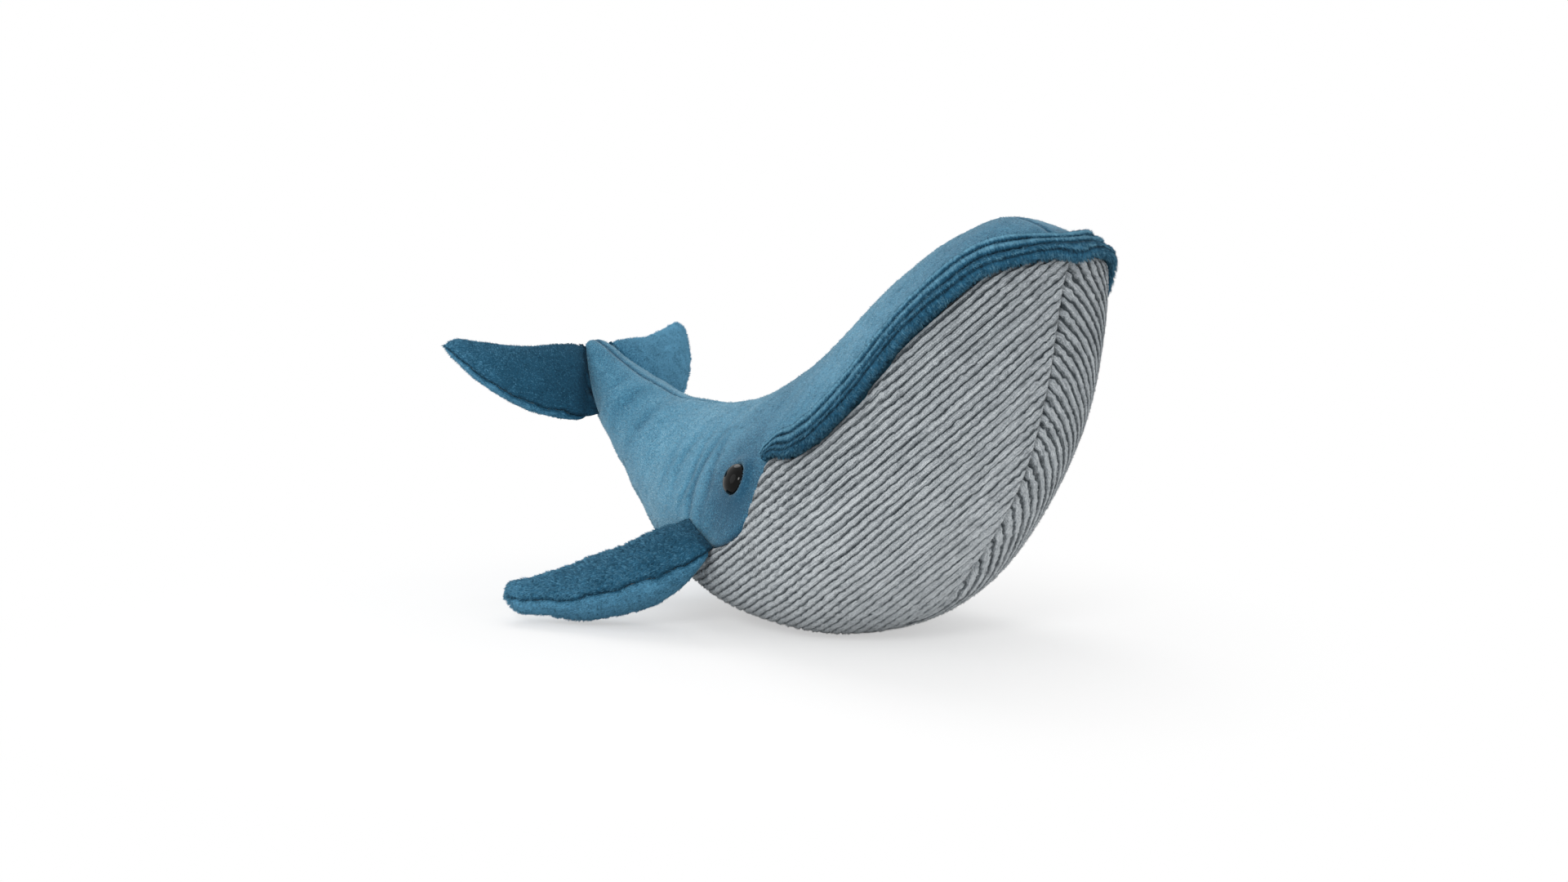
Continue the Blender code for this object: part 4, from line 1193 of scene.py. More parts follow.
@dataclass
class PlushBack:
    """The blue plush over the back, in two halves with a seam along the crown."""

    thickness: float = 3 * MM
    step: float = 1.5 * MM
    columns: int = 96
    seam_depth: float = 0.9 * MM
    seam_width: float = 1.7 * MM
    # painted shade along the crown seam
    seam_shade: float = 0.8
    tuck_depth: float = 1.5 * MM
    tuck_width: float = 2.0 * MM
    # painted shade where the plush tucks in at the border
    tuck_shade: float = 0.6
    lumps: float = 0.45 * MM
    lump_size: float = 34 * MM
    inset: float = 0.55 * MM  # room for the pile inside the body's form
    slim_width: float = 12 * MM  # below this half width of the body its details shrink
    pile: Pile = field(default_factory=lambda: Pile(
        1.2 * MM, 0.42 * MM, 0.74, 1.2, spread=0.34, softness=0.6, tuft=1.2 * MM))
    nap_step: float = 0.1  # rows towards the tail, by which the way of the nap is taken
    nap_fall: float = 0.35  # how far the nap points down the sides
    roll_band: float = 19 * MM  # the stretch along the mouth that the lip rolls cover
    roll_start: float = 0.45  # its share at the mouth's corner
    roll_growth: float = 0.25  # how much it grows for each row towards the snout
    eye_side: float = 30 * MM  # the eye is further out than this
    cheek_tone: float = 1.0  # painted shade: how much darker the plush is round and below the eye
    cheek_drop: float = 8 * MM
    cheek_width: float = 27 * MM
    # How much darker the plush is along the body: painted light and shade, lightest on the saddle.
    painted_shading: Pairs = (
        (0.0, 0.15), (3.0, 0.10), (4.5, -0.10), (6.2, -0.40), (7.4, -0.20), (8.5, 0.20),
        (10.0, -0.20), (12.5, 0.30), (17.0, 0.25))
    # Each fold's row, lean, middle share, reach in shares, width in rows and depth.
    folds: tuple[tuple[float, ...], ...] = (
        (7.62, 0.45, 0.33, 0.13, 0.09, 0.9 * MM), (7.30, 0.20, 0.37, 0.16, 0.08, 1.3 * MM),
        (7.02, 0.10, 0.34, 0.11, 0.07, 1.1 * MM), (6.66, 0.35, 0.31, 0.12, 0.10, 0.8 * MM),
        (6.30, 0.10, 0.36, 0.10, 0.10, 0.6 * MM), (5.05, -0.60, 0.30, 0.16, 0.14, 0.9 * MM),
        (4.35, -0.50, 0.26, 0.15, 0.12, 0.8 * MM), (3.75, -0.40, 0.24, 0.12, 0.10, 0.5 * MM))
    fold_waver: float = 0.05  # rows by which a fold strays from its line
    fold_waves: float = 22  # how fast it does so round the body
    fold_shift: float = 9  # and how much from fold to fold
    fold_shade: float = 2.0 * MM  # painted shade: the depth at which a fold is as dark as a crease can be

    def wrinkles(self, rows: np.ndarray, shares: np.ndarray) -> np.ndarray:
        """Soft folds that run down the side behind the eye, and across the tail stock.

        Args:
            rows: Fractional row numbers.
            shares: Shares of the way round.

        Returns:
            Depths in metres, below the surface.
        """
        depth = np.zeros(np.broadcast(rows, shares).shape)
        for place, lean, middle, reach, width, deep in self.folds:
            waver = self.fold_waver * np.sin(self.fold_waves * shares + self.fold_shift * place)
            across = rows - place - lean * (shares - middle) - waver
            depth += deep * bump(across, width) * bump(shares - middle, reach)
        return depth

    def outer(self) -> tuple[Grid, np.ndarray, np.ndarray]:
        """The outer wall of the left half.

        Returns:
            The grid, its rows and the share of fibres that each point keeps.
        """
        rows = BODY.even_rows(0, BODY.last, self.step, (0.0, 0.25, 0.5))
        edge = np.where((rows > BORDER[0, 0]) & (rows < BORDER[-1, 0]), BODY.border(rows), 1.0)
        shares = np.linspace(0, 1, self.columns + 1) * edge[:, None]
        fine = BODY.points(rows[:, None], shares)
        for i, line in enumerate(fine):
            if np.ptp(line, axis=0).max() > MM:
                shares[i] = np.interp(even(line, self.columns + 1), np.arange(self.columns + 1), shares[i])
        grid_rows = np.broadcast_to(rows[:, None], shares.shape)
        points, normals = BODY.points(grid_rows, shares), BODY.normals(grid_rows, shares)
        steps = np.linalg.norm(np.diff(points, axis=1), axis=-1)
        from_edge = np.concatenate([np.cumsum(steps[:, ::-1], 1)[:, ::-1], np.zeros((len(rows), 1))], 1)
        depth = self.wrinkles(grid_rows, shares)
        seam = bump(points[..., 0], self.seam_width)
        tuck = np.where((edge < 1)[:, None], bump(from_edge, self.tuck_width), 0)
        lumps = np.minimum(ripple(points, self.lump_size, 5) * self.lumps - self.lumps, 0)
        raised = SOCKET.lid(points) + lumps - depth
        push = raised - seam * self.seam_depth - tuck * self.tuck_depth - self.inset
        slim = np.clip(points[..., 0].max(1) / self.slim_width, 0, 1)[:, None]
        moved = points + normals * (push * slim)[..., None]
        moved[..., 0] = np.maximum(moved[..., 0], SEAM_GAP / 2)
        behind = BODY.points(np.clip(grid_rows - self.nap_step, 0, None), shares)
        nap = unit(unit(behind - points) - np.array([0, 0, self.nap_fall]))
        grown = self.roll_start + (rows - MOUTH_CORNER_ROW) * self.roll_growth
        band = self.roll_band * np.clip(grown, self.roll_start, 1)[:, None]
        under_rolls = (grid_rows > MOUTH_CORNER_ROW) & (from_edge < band)
        under_eye = (SOCKET.distance(points) < SOCKET.radius) & (points[..., 0] > self.eye_side)
        keep = np.where(under_rolls | under_eye, 0.0, 1.0)
        # Painted light and shade along the body.
        tone_shift = np.interp(rows, *np.array(self.painted_shading).T)[:, None]
        from_cheek = np.linalg.norm(points - SOCKET.centre + [0, 0, self.cheek_drop], axis=-1)
        cheek = self.cheek_tone * bump(from_cheek, self.cheek_width)
        # Painted shade in the folds, along the seam and the tuck, and round and below the eye.
        creases = depth / self.fold_shade + seam * self.seam_shade + tuck * self.tuck_shade
        relief = np.clip(creases + tone_shift + cheek, LIGHTEST, 1)
        return Grid(moved, normals, nap, relief), rows, keep

    def build(self, material: bpy.types.Material,
              eye_cutters: dict[Side, Callable[[], bpy.types.Object]]) -> None:
        """Build both halves.

        Args:
            material: The plush.
            eye_cutters: For each side, what makes the solid that cuts the eye's seat.
        """
        grid, rows, keep = self.outer()
        depth = BODY.cloth(rows, self.thickness)[::STRIDE, None, None]
        inner = grid.points[::STRIDE, ::STRIDE] - grid.normals[::STRIDE, ::STRIDE] * depth
        inner[..., 0] = np.maximum(inner[..., 0], SEAM_GAP / 2)
        for side in Side:
            wall = grid if side is Side.LEFT else grid.mirrored()
            cloth = sew(f"plush_back_{side.word}", wall, inner * side.flip)
            cutter = eye_cutters[side]()
            cut = cloth.modifiers.new("eye_seat", "BOOLEAN")
            cut.operation, cut.solver, cut.object = "DIFFERENCE", "EXACT", cutter
            only(cloth)
            bpy.ops.object.modifier_apply(modifier=cut.name)
            bpy.data.objects.remove(cutter)
            with_pile(cloth, self.pile.grow(wall, keep, 11 + side.value))
            finish_piece(cloth, material, (f"back_{side.word}",))
            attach(cloth, "body")


@dataclass
class CordBelly:
    """The grey corduroy belly, in two halves whose ribs meet in a chevron."""

    thickness: float = 3 * MM
    step: float = 0.78 * MM
    columns: int = 176
    end_row_gap: float = 0.03
    rib_field: tuple[float, float, float] = (107.7, 123.3, 184.6)  # ribs a metre along |x|, y, z
    groove_depth: float = 1.2 * MM
    groove_share: float = 0.14  # half width of a groove, as a share of a rib
    groove_fill: float = 0.75  # how much of its depth a groove has,
    groove_waver: float = 0.3  # how much that differs, over what length, and its limits
    groove_run: float = 5 * MM
    groove_limits: tuple[float, float] = (0.25, 1.1)
    groove_bare: float = 1.6  # how fast the pile thins out towards a groove
    crest_share: float = 0.32  # half width of what isn't a rib's crest
    wobble: float = 0.04  # how far the ribs stray, as a share of a rib
    wobble_sizes: tuple[float, float, float] = (40 * MM, 7 * MM, 2.8 * MM)
    wobble_short: float = 0.7  # share of the shortest
    loose: float = 1.2  # how much more the ribs stray along the middle seam
    loose_width: float = 16 * MM
    crumbs: float = 0.12 * MM  # height of the unevenness of the pile
    crumb_size: float = 2.6 * MM
    tooth: float = 2.8 * MM  # how far the border draws back between the ribs' ends
    tooth_width: float = 2.4 * MM
    fullness: float = 0.7 * MM  # how far the ribs stand above the body's form
    seam_depth: float = 1.3 * MM
    seam_width: float = 1.5 * MM
    # painted shade along the middle seam
    seam_shade: float = 0.5
    tuck_depth: float = 1.6 * MM
    tuck_width: float = 1.8 * MM
    # painted shade where the cloth tucks in at the border
    tuck_shade: float = 0.3
    crest_tuck: float = 0.7  # how much less a rib's crest is tucked in than a groove
    edge_shade: float = 0.6  # painted shade: how much darker the cloth is along the border
    edge_shade_width: float = 5 * MM
    resting: float = 1.5 * MM  # below this height the pile is pressed flat
    # How far the nap points from a rib's crest, along the rib, and out over the border.
    nap: tuple[float, float, float] = (0.6, 0.7, 1.5)
    # How much darker the pile is with the height above the floor: painted shade higher up
    # and painted light near the floor.
    painted_shading: Pairs = (
        (0.0, -0.65), (30 * MM, -0.5), (70 * MM, -0.25), (100 * MM, 0.2), (150 * MM, 0.65),
        (180 * MM, 0.9), (210 * MM, 1.0))
    pile: Pile = field(default_factory=lambda: Pile(
        1.1 * MM, 0.45 * MM, 0.5, 1.0, spread=0.45, softness=0.5, tuft=1.0 * MM))

    def rib_phase(self, points: np.ndarray) -> np.ndarray:
        """Count the ribs: a whole number in each groove.

        Args:
            points: Points on the left half.

        Returns:
            The count at each point, with the ribs' straying.
        """
        long, middle, short = (ripple(points, size, seed) for size, seed in zip(self.wobble_sizes, (3, 4, 9)))
        loose = 1 + self.loose * bump(points[..., 0], self.loose_width)
        return points @ np.array(self.rib_field) + self.wobble * (
            long + loose * middle + self.wobble_short * short)

    def outer(self) -> tuple[Grid, np.ndarray, np.ndarray]:
        """The walls of the left half.

        Returns:
            The outer wall, the inner wall's points and the share of fibres that each
            point of the outer wall keeps.
        """
        first, last = BORDER[0, 0] + self.end_row_gap, BORDER[-1, 0] - self.end_row_gap
        rows = BODY.even_rows(first, last, self.step, (0.6, 0.8, 1.0))
        edge = BODY.border(rows)[:, None]
        shares = edge + np.linspace(0, 1, self.columns + 1) * (1 - edge)
        fine = BODY.points(rows[:, None], shares)
        for i, line in enumerate(fine):
            shares[i] = np.interp(even(line, self.columns + 1), np.arange(self.columns + 1), shares[i])
        grid_rows = np.broadcast_to(rows[:, None], shares.shape)
        points, normals = BODY.points(grid_rows, shares), BODY.normals(grid_rows, shares)
        steps = np.linalg.norm(np.diff(points, axis=1), axis=-1)
        from_edge = np.concatenate([np.zeros((len(rows), 1)), np.cumsum(steps, 1)], 1) + SEAM_GAP
        phase = self.rib_phase(points)
        from_groove = phase - np.round(phase)
        away = np.abs(from_groove)
        fill = self.groove_fill + self.groove_waver * ripple(points, self.groove_run, 6)
        groove = bump(away, self.groove_share) * np.clip(fill, *self.groove_limits)
        seam = bump(points[..., 0], self.seam_width)
        crest = 1 - bump(away, self.crest_share)
        tuck = bump(from_edge, self.tuck_width) * (1 - self.crest_tuck * crest)
        crumbs = ripple(points, self.crumb_size, 8) * self.crumbs
        full = self.fullness * (1 - seam) * (1 - tuck)
        ribbed = crumbs + full - groove * self.groove_depth
        push = ribbed - seam * self.seam_depth - tuck * self.tuck_depth
        outwards = unit(points[:, :1] - points[:, 1:2])
        rim = bump(from_edge, self.tooth_width)
        teeth = outwards * (rim * (1 - crest) * self.tooth)[..., None]
        moved = points + normals * push[..., None] - teeth
        moved[..., 0] = np.maximum(moved[..., 0], SEAM_GAP / 2)
        moved[..., 2] = np.maximum(moved[..., 2], FLOOR_CLEARANCE)
        field_way = np.array(self.rib_field)
        across = unit(field_way - dot(normals, field_way) * normals)
        down, along, over = self.nap
        sides = across * np.where(from_groove > 0, -down, down)[..., None]
        nap = unit(sides + along * np.cross(normals, across))
        nap = unit(nap + outwards * over * rim[..., None])
        # Painted shade in the grooves, along the seam, the tuck and the border, and painted light and shade by
        # height.
        creases = np.clip(groove + seam * self.seam_shade + tuck * self.tuck_shade, 0, 1)
        height_shading = np.interp(points[..., 2], *np.array(self.painted_shading).T)
        relief = creases + self.edge_shade * bump(from_edge, self.edge_shade_width) + height_shading
        grid = Grid(moved, normals, nap, relief, np.stack([phase, from_edge], -1))
        inner = points[::STRIDE, ::STRIDE] - normals[::STRIDE, ::STRIDE] * self.thickness
        inner[..., 0] = np.maximum(inner[..., 0], SEAM_GAP / 2)
        keep = np.clip(1 - groove * self.groove_bare, 0, 1) * (points[..., 2] > self.resting)
        return grid, inner, keep

    def build(self, material: bpy.types.Material) -> None:
        """Build both halves.

        Args:
            material: The corduroy.
        """
        grid, inner, keep = self.outer()
        for side in Side:
            wall = grid if side is Side.LEFT else grid.mirrored()
            cloth = sew(f"corduroy_belly_{side.word}", wall, inner * side.flip)
            with_pile(cloth, self.pile.grow(wall, keep, 21 + side.value))
            finish_piece(cloth, material, (f"belly_{side.word}",))
            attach(cloth, "body")


@dataclass
class LipRolls:
    """Three padded plush rolls side by side along the mouth, from corner to corner."""

    width: float = 7.4 * MM
    height: float = 5.8 * MM
    edge: float = 2.9 * MM
    gap: float = 0.6 * MM
    order_shares: tuple[float, ...] = (1.20, 0.95, 0.85)
    # How full the rolls are from a mouth corner (0) to the snout (1).
    growth: Pairs = (
        (0.00, 0.46), (0.04, 0.70), (0.11, 0.86), (0.24, 1.00), (0.60, 1.00), (1.00, 0.72))
    crests: tuple[float, ...] = (0.3, 0.6, 0.9)  # painted light: how much lighter the rolls' crests are
    crease_angle: float = 1.45  # of the crease along the outer roll, from the side of the belly
    crease_width: float = 0.26
    crease_depth: float = 0.22
    # painted shade in the crease along the outer roll
    crease_shade: float = 0.9
    # how narrow the painted light on a crest is
    crest_sharpness: int = 6
    belly_shade: float = 0.1  # of the outer roll's painted shade, on the side of the belly
    # How far the nap points over the roll, down, and along it.
    nap: tuple[float, float, float] = (0.9, 0.3, 0.25)
    sides: int = 28
    steps: int = 110
    walk_steps: int = 12
    dents: float = 0.09  # how uneven the rolls are, as a share of their thickness
    dent_size: float = 9 * MM
    pile: Pile = field(default_factory=lambda: Pile(
        1.3 * MM, 0.4 * MM, 0.45, 2.0, spread=0.2, softness=0.5,
        clump=4 * MM, tuft=1.1 * MM, drawn=0.3, thin=0.5))
    long_pile: Pile = field(default_factory=lambda: Pile(
        2.6 * MM, 0.42 * MM, 0.72, 2.2, spread=0.3, softness=0.45,
        clump=5 * MM, tuft=1.4 * MM, drawn=0.5, thin=0.3))

    def walk(self, skin: BVHTree, start: Vector, tangent: Vector, distance: float) -> tuple[Vector, Vector]:
        """Walk over the skin, square to the mouth and towards the crown.

        Args:
            skin: The body's surface.
            start: The starting point.
            tangent: The mouth's direction there.
            distance: How far to walk.

        Returns:
            The place reached and the outward direction there.
        """
        spot, up, *_ = skin.find_nearest(start)
        across = up.cross(tangent).normalized()
        for _ in range(self.walk_steps):
            spot, up, *_ = skin.find_nearest(spot + across * distance / self.walk_steps)
            across = (across - up * across.dot(up)).normalized()
        return spot, up

    def lines(self) -> list[RollLine]:
        """The three rolls' middles.

        Returns:
            Each roll's line.
        """
        fine = np.linspace(MOUTH_CORNER_ROW, BORDER[-1, 0], 600)
        half = BODY.points(fine, BODY.border(fine))
        half = half[np.round(even(half, self.steps)).astype(int)]
        half[-1, 0] = 0
        edge = np.concatenate([half * [-1, 1, 1], half[-2::-1]])
        count = len(edge)
        skin = BODY.skin()
        growth = np.array(self.growth)
        widths = [self.width * share for share in self.order_shares]
        made = []
        for order in range(3):
            reach = self.edge + sum(widths[:order]) + (widths[order] - widths[0]) / 2 + order * SEAM_GAP
            line = []
            for i, start in enumerate(edge):
                grown = float(np.interp(2 * min(i, count - 1 - i) / (count - 1), *growth.T))
                tangent = Vector(edge[min(i + 1, count - 1)] - edge[max(i - 1, 0)]).normalized()
                foot, up = self.walk(skin, Vector(start), tangent, reach * grown)
                half_height = self.height / 2 * self.order_shares[order] * grown
                line.append((np.array(foot + up * (half_height + self.gap)), np.array(up), half_height))
            made.append(line)
        return made

    def smoothed(self, lines: list[RollLine]) -> np.ndarray:
        """The rolls' middles without the small steps of the walk.

        Args:
            lines: What lines() gives.

        Returns:
            The middles, for each roll and place.
        """
        middles = np.array([[place[0] for place in line] for line in lines])
        kernel = np.array([1, 2, 3, 2, 1]) / 9
        for order in range(3):
            for axis in range(3):
                padded = np.pad(middles[order, :, axis], 2, mode="edge")
                middles[order, 2:-2, axis] = np.convolve(padded, kernel, "valid")[2:-2]
        return middles

    def half_widths(self, order: int, middles: np.ndarray) -> np.ndarray:
        """Half widths with which the rolls lie side by side.

        Args:
            order: Which roll, counted from the belly.
            middles: The rolls' middles.

        Returns:
            The half width at each place.
        """
        to_outer, to_inner = (np.linalg.norm(middles[1] - middles[k], axis=-1) - SEAM_GAP for k in (0, 2))
        first, second, third = self.order_shares
        slim = np.minimum(to_outer * second / (first + second), to_inner * second / (second + third))
        return (to_outer - slim, slim, to_inner - slim)[order]

    def surface(self, order: int, line: RollLine, middles: np.ndarray) -> Grid:
        """A roll's outside.

        Args:
            order: Which roll, counted from the belly.
            line: Its places, as lines() gives them.
            middles: The rolls' middles.

        Returns:
            The grid, whose last column repeats the first.
        """
        middle = middles[order]
        angles = 2 * np.pi * np.arange(self.sides + 1) / self.sides
        sine, cosine = np.sin(angles), np.cos(angles)
        tangent = unit(np.gradient(middle, axis=0))
        up = np.array([place[1] for place in line])
        up = unit(up - dot(up, tangent) * tangent)
        across = np.cross(tangent, up)
        high = np.array([place[2] for place in line])[:, None, None]
        wide = self.half_widths(order, middles)[:, None, None]
        round_ = across[:, None] * wide * cosine[:, None] + up[:, None] * high * sine[:, None]
        dents = ripple(middle[:, None] + round_, self.dent_size, 40 + order)[..., None]
        plump = 1 - self.dents * (1 + dents) / 2
        crease = bump(angles - self.crease_angle, self.crease_width) * (order == 0)
        points = middle[:, None] + round_ * (plump - self.crease_depth * crease[:, None])
        normals = unit(across[:, None] * cosine[:, None] / wide + up[:, None] * sine[:, None] / high)
        half_way = len(middle) // 2
        outward = np.sign((middles[0, half_way] - middles[1, half_way]) @ across[half_way])
        over, down, along = self.nap
        lie = (across * outward * over - up * down)[:, None]
        nap = unit(np.broadcast_to(lie, points.shape) + along * tangent[:, None])
        crest = self.crests[order]
        # Painted shade on each roll's underside and painted light on its crest, and painted shade in the outer
        # roll's crease.
        depth = 1 - sine - crest * np.maximum(sine, 0) ** self.crest_sharpness
        if order == 0:
            depth = np.where(cosine * outward > 0, depth * self.belly_shade, depth)
        shade = np.clip(depth, -crest, 1) + self.crease_shade * crease
        relief = np.broadcast_to(shade, points.shape[:2])
        run = np.concatenate([[0], np.cumsum(np.linalg.norm(np.diff(middle, axis=0), axis=-1))])
        detail = np.stack(np.broadcast_arrays(run[:, None], angles * self.height / 2), -1)
        return Grid(points, normals, nap, relief, detail)

    def build(self, material: bpy.types.Material) -> None:
        """Build the rolls.

        Args:
            material: The dark plush.
        """
        lines = self.lines()
        middles = self.smoothed(lines)
        for order, word in enumerate(("outer", "middle", "inner")):
            grid = self.surface(order, lines[order], middles)
            spots, ways, detail = (values[:, :-1] for values in (grid.points, grid.normals, grid.detail))
            tuft = np.zeros(spots.shape)
            tuft[..., 1], tuft[..., 2] = PLAIN_TONE, grid.relief[:, :-1]
            mesh = SoftMesh()
            first = mesh.add_points(spots, ways, tuft, detail=detail)
            rows = len(grid.points)
            flip = turned(grid.points, grid.normals)
            mesh.add_faces(quads(rows, self.sides, first, wrap=True),
                           quad_places(rows - 1, self.sides, *OUTER_PATCH), flip)
            angles = 2 * np.pi * np.arange(self.sides) / self.sides
            for end, centre, turn in ((0, END_PATCHES[0], False), (rows - 1, END_PATCHES[1], True)):
                ring = first + end * self.sides + np.arange(self.sides)[None]
                circle = END_PATCH_RADIUS * np.stack([np.cos(angles), np.sin(angles)], -1)
                mesh.add_faces(ring, (np.array(centre) + circle)[None], turn != flip)
            roll = mesh.make(f"plush_lip_roll_{word}")
            pile = self.pile if order else self.long_pile
            with_pile(roll, pile.grow(grid, np.ones(grid.relief.shape), 50 + order))
            finish_piece(roll, material, (f"lip_roll_{word}",))
            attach(roll, "body")


@dataclass(frozen=True)
class LimbForm:
    """Sizes of a flipper or a fluke."""

    word: str
    length: float
    chord: float
    thickness: float
    welt: float
    edge_share: float  # how far round from the leading edge the panels meet
    seam: Pairs
    table: tuple[tuple[float, ...], ...]
    sweep: float
    droop: float
    roll: float
    painted_shading: tuple[float, float]  # painted shade: how much darker the root is; painted light: how much lighter the tip is
    tone_shift: float = 0.0  # how much lighter the left one is drawn
    cloth: float = 2.4 * MM
    edge_gap: float = 0.3 * MM
    twist_share: float = 0.35


class Limb:
    """A stuffed limb of two plush panels, sewn on along its root."""

    rows_count = 96
    columns = 44
    edge_depth = 1.4 * MM
    edge_width = 1.4 * MM
    inset = 0.7 * MM  # room for the pile inside the limb's form
    edge_rows = (1.0, 4.0)  # between these rows the panels' seam leaves the leading edge
    root_rows = (0.0, 2.2)  # over these rows the root is drawn onto the body
    root_share = 0.91  # how much of the root's length the sewn edge takes
    root_sink = 0.6 * MM  # how far the sewn edge sinks into the body's pile
    root_thickness = 0.4  # of the welt at its sewn edge, as a share of its own
    root_width = 2.5 * MM  # of the painted shade along the sewn edge
    edge_wander = ((0.012, 5.1), (0.008, 11.7))  # how far and how fast the panels' seam strays
    lumps = 0.4 * MM
    lump_size = 26 * MM
    slim_height = 4 * MM  # below this half thickness the details shrink
    slim_share = 0.45  # the cloth's most, as a share of the room in a slim end
    row_step, share_step = 0.02, 0.004  # steps by which slopes are measured
    tip_room = 0.12  # rows left at the tip, where a slope has no width
    edge_step = 0.02  # share by which the rise of the edge is measured
    fine_steps = 900  # for measuring lengths along the limb
    # painted shade along the panels' seam and along the root
    edge_shade, root_shade = 0.8, 0.2
    nap_along = 0.9  # how far the nap points to the tip
    nap_spread = 12  # and how much it fans out from the limb's middle, per metre
    bend_from, bend_to = 4 * MM, 20 * MM  # for a bend at the root: where it would start inside the body, and end

    def __init__(self, form: LimbForm, pile: Pile) -> None:
        """Place the limb on the left side.

        Args:
            form: Its sizes.
            pile: Its fibres.
        """
        self.form, self.pile, self.skin = form, pile, BODY.skin()
        places = np.array(form.seam)
        front, middle, rear = BODY.points(places[:, 0], places[:, 1])
        out = BODY.normals(places[1:2, 0], places[1:2, 1])[0]
        self.seam = front - rear
        self.away = unit(out - self.seam * (out @ self.seam) / (self.seam @ self.seam))
        bulge = max((middle - (front + rear) / 2) @ self.away, 0)
        self.root = (front + rear) / 2 + self.away * (bulge + form.welt + SEAM_GAP)
        sweep, droop, roll = (math.radians(a) for a in (form.sweep, form.droop, form.roll))
        outwards = np.array([math.cos(sweep), math.sin(sweep), 0])
        self.span = outwards * [math.cos(droop), math.cos(droop), 0] - np.array([0, 0, math.sin(droop)])
        level = np.array([math.sin(sweep), -math.cos(sweep), 0])
        upright = np.cross(level, self.span)
        upright *= math.copysign(1, upright[2])
        self.lead = level * math.cos(roll) - upright * math.sin(roll)
        self.upper = np.cross(self.span, self.lead)
        self.upper *= math.copysign(1, self.upper @ upright)
        self.rows = self.build_rows()

    def build_rows(self) -> np.ndarray:
        """Leading edge, trailing edge and half thickness of each row.

        Returns:
            The table.
        """
        form = self.form
        axes = np.array([self.span / form.length, self.lead / (form.chord / 2), self.upper / form.length])
        rows = []
        for step, thick in ((-1, self.root_thickness), (0, 1.0)):
            shift = self.away * step * form.welt
            rows.append((*(axes @ (shift + self.seam / 2)), *(axes @ (shift - self.seam / 2)),
                         thick * form.welt / (form.thickness / 2)))
        twist = (axes @ (self.seam / 2))[2]
        for a, b, c, d, hang, thick in form.table:
            left = twist * max(1 - (a + c) / 2 / form.twist_share, 0)
            rows.append((a, b, left - hang, c, d, -left - hang, thick))
        return np.array(rows)

    def points(self, rows: np.ndarray, shares: np.ndarray) -> tuple[np.ndarray, np.ndarray, np.ndarray]:
        """Points on the left limb.

        Args:
            rows: Fractional row numbers.
            shares: Shares of the way round from the leading edge, negative underneath.

        Returns:
            The points, the middle of each row and the upward direction there.
        """
        rows, shares = np.broadcast_arrays(rows, shares)
        form = self.form
        v = catmull(self.rows, rows)
        axes = np.array([self.span * form.length, self.lead * form.chord / 2, self.upper * form.length])
        front, rear = self.root + v[..., :3] @ axes, self.root + v[..., 3:6] @ axes
        half = (front - rear) / 2
        size = dot(half, half)
        square = self.upper - half * dot(half, self.upper) / np.maximum(size, TINY)
        lift = unit(np.where(size > SEAM_GAP**2, square, self.upper))
        high = np.maximum(v[..., 6:7], 0) * form.thickness / 2
        angle = np.pi * shares[..., None]
        middle = (front + rear) / 2
        return middle + half * np.cos(angle) + lift * high * np.sin(angle), middle, lift

    def normals(self, rows: np.ndarray, shares: np.ndarray) -> np.ndarray:
        """Outward directions at the same places.

        Args:
            rows: Fractional row numbers.
            shares: Shares of the way round.

        Returns:
            The directions.
        """
        last = len(self.rows) - 1
        r = np.clip(rows, self.row_step, last - self.tip_room)
        before, after = (self.points(r + step, shares)[0] for step in (-self.row_step, self.row_step))
        below, above = (self.points(r, shares + step)[0] for step in (-self.share_step, self.share_step))
        out = unit(np.cross(after - before, above - below))
        spots, middle, _ = self.points(r, shares)
        return out * np.sign(dot(out, spots - middle) + TINY)

    def panel(self, face: Face) -> tuple[Grid, np.ndarray]:
        """One panel of the left limb.

        Args:
            face: Which panel.

        Returns:
            Its outer wall and the points of its inner wall.
        """
        last = len(self.rows) - 1
        fine = np.linspace(0, last, self.fine_steps)
        line = self.points(fine, np.full(self.fine_steps, 0.5 * face.value))[0]
        rows = np.interp(even(line, self.rows_count + 1), np.arange(self.fine_steps), fine)[:, None]
        first_row, last_row = self.edge_rows
        off = np.clip((rows - first_row) / (last_row - first_row), 0, 1)
        (far, slow), (near, fast) = self.edge_wander
        seam = (self.form.edge_share + far * np.sin(slow * rows) + near * np.sin(fast * rows)) * off
        shares = seam + (face.value - seam) * np.linspace(0, 1, self.columns + 1)[None]
        rows, shares = np.broadcast_arrays(rows, shares)
        points, middle, lift = self.points(rows, shares)
        steps = (-self.edge_step, self.edge_step)
        below, above = (self.points(rows[:, 0], seam[:, 0] + step)[0] for step in steps)
        rise = unit(above - below)
        normals = self.normals(rows, shares)
        to_leading, to_trailing = (
            np.linalg.norm(points - line, axis=-1) for line in (points[:, :1], points[:, -1:]))
        edge = bump(np.minimum(to_leading, to_trailing), self.edge_width)
        thick = np.maximum(catmull(self.rows, rows)[..., 6], 0) * self.form.thickness / 2
        room = np.clip(thick / self.slim_height, 0, 1)
        lumps = (ripple(points, self.lump_size, 61) - 1) * self.lumps
        push = (lumps - edge * self.edge_depth - self.inset) * room
        depth = np.clip(thick * self.slim_share, SEAM_GAP, self.form.cloth)

        def settle(spots: np.ndarray) -> np.ndarray:
            """Keep points on their own side of the seam between the panels.

            Args:
                spots: The points.

            Returns:
                The points, moved where they would cross.
            """
            limit = self.form.edge_gap / 2 * face.value
            spots = spots.copy()
            spots[:, 0] += rise * limit
            height = dot(spots - middle, lift)
            short = np.maximum(limit - height, 0) if face is Face.UPPER else np.minimum(limit - height, 0)
            return spots + lift * np.where((shares <= 0)[..., None] | (face is Face.UPPER), short, 0)

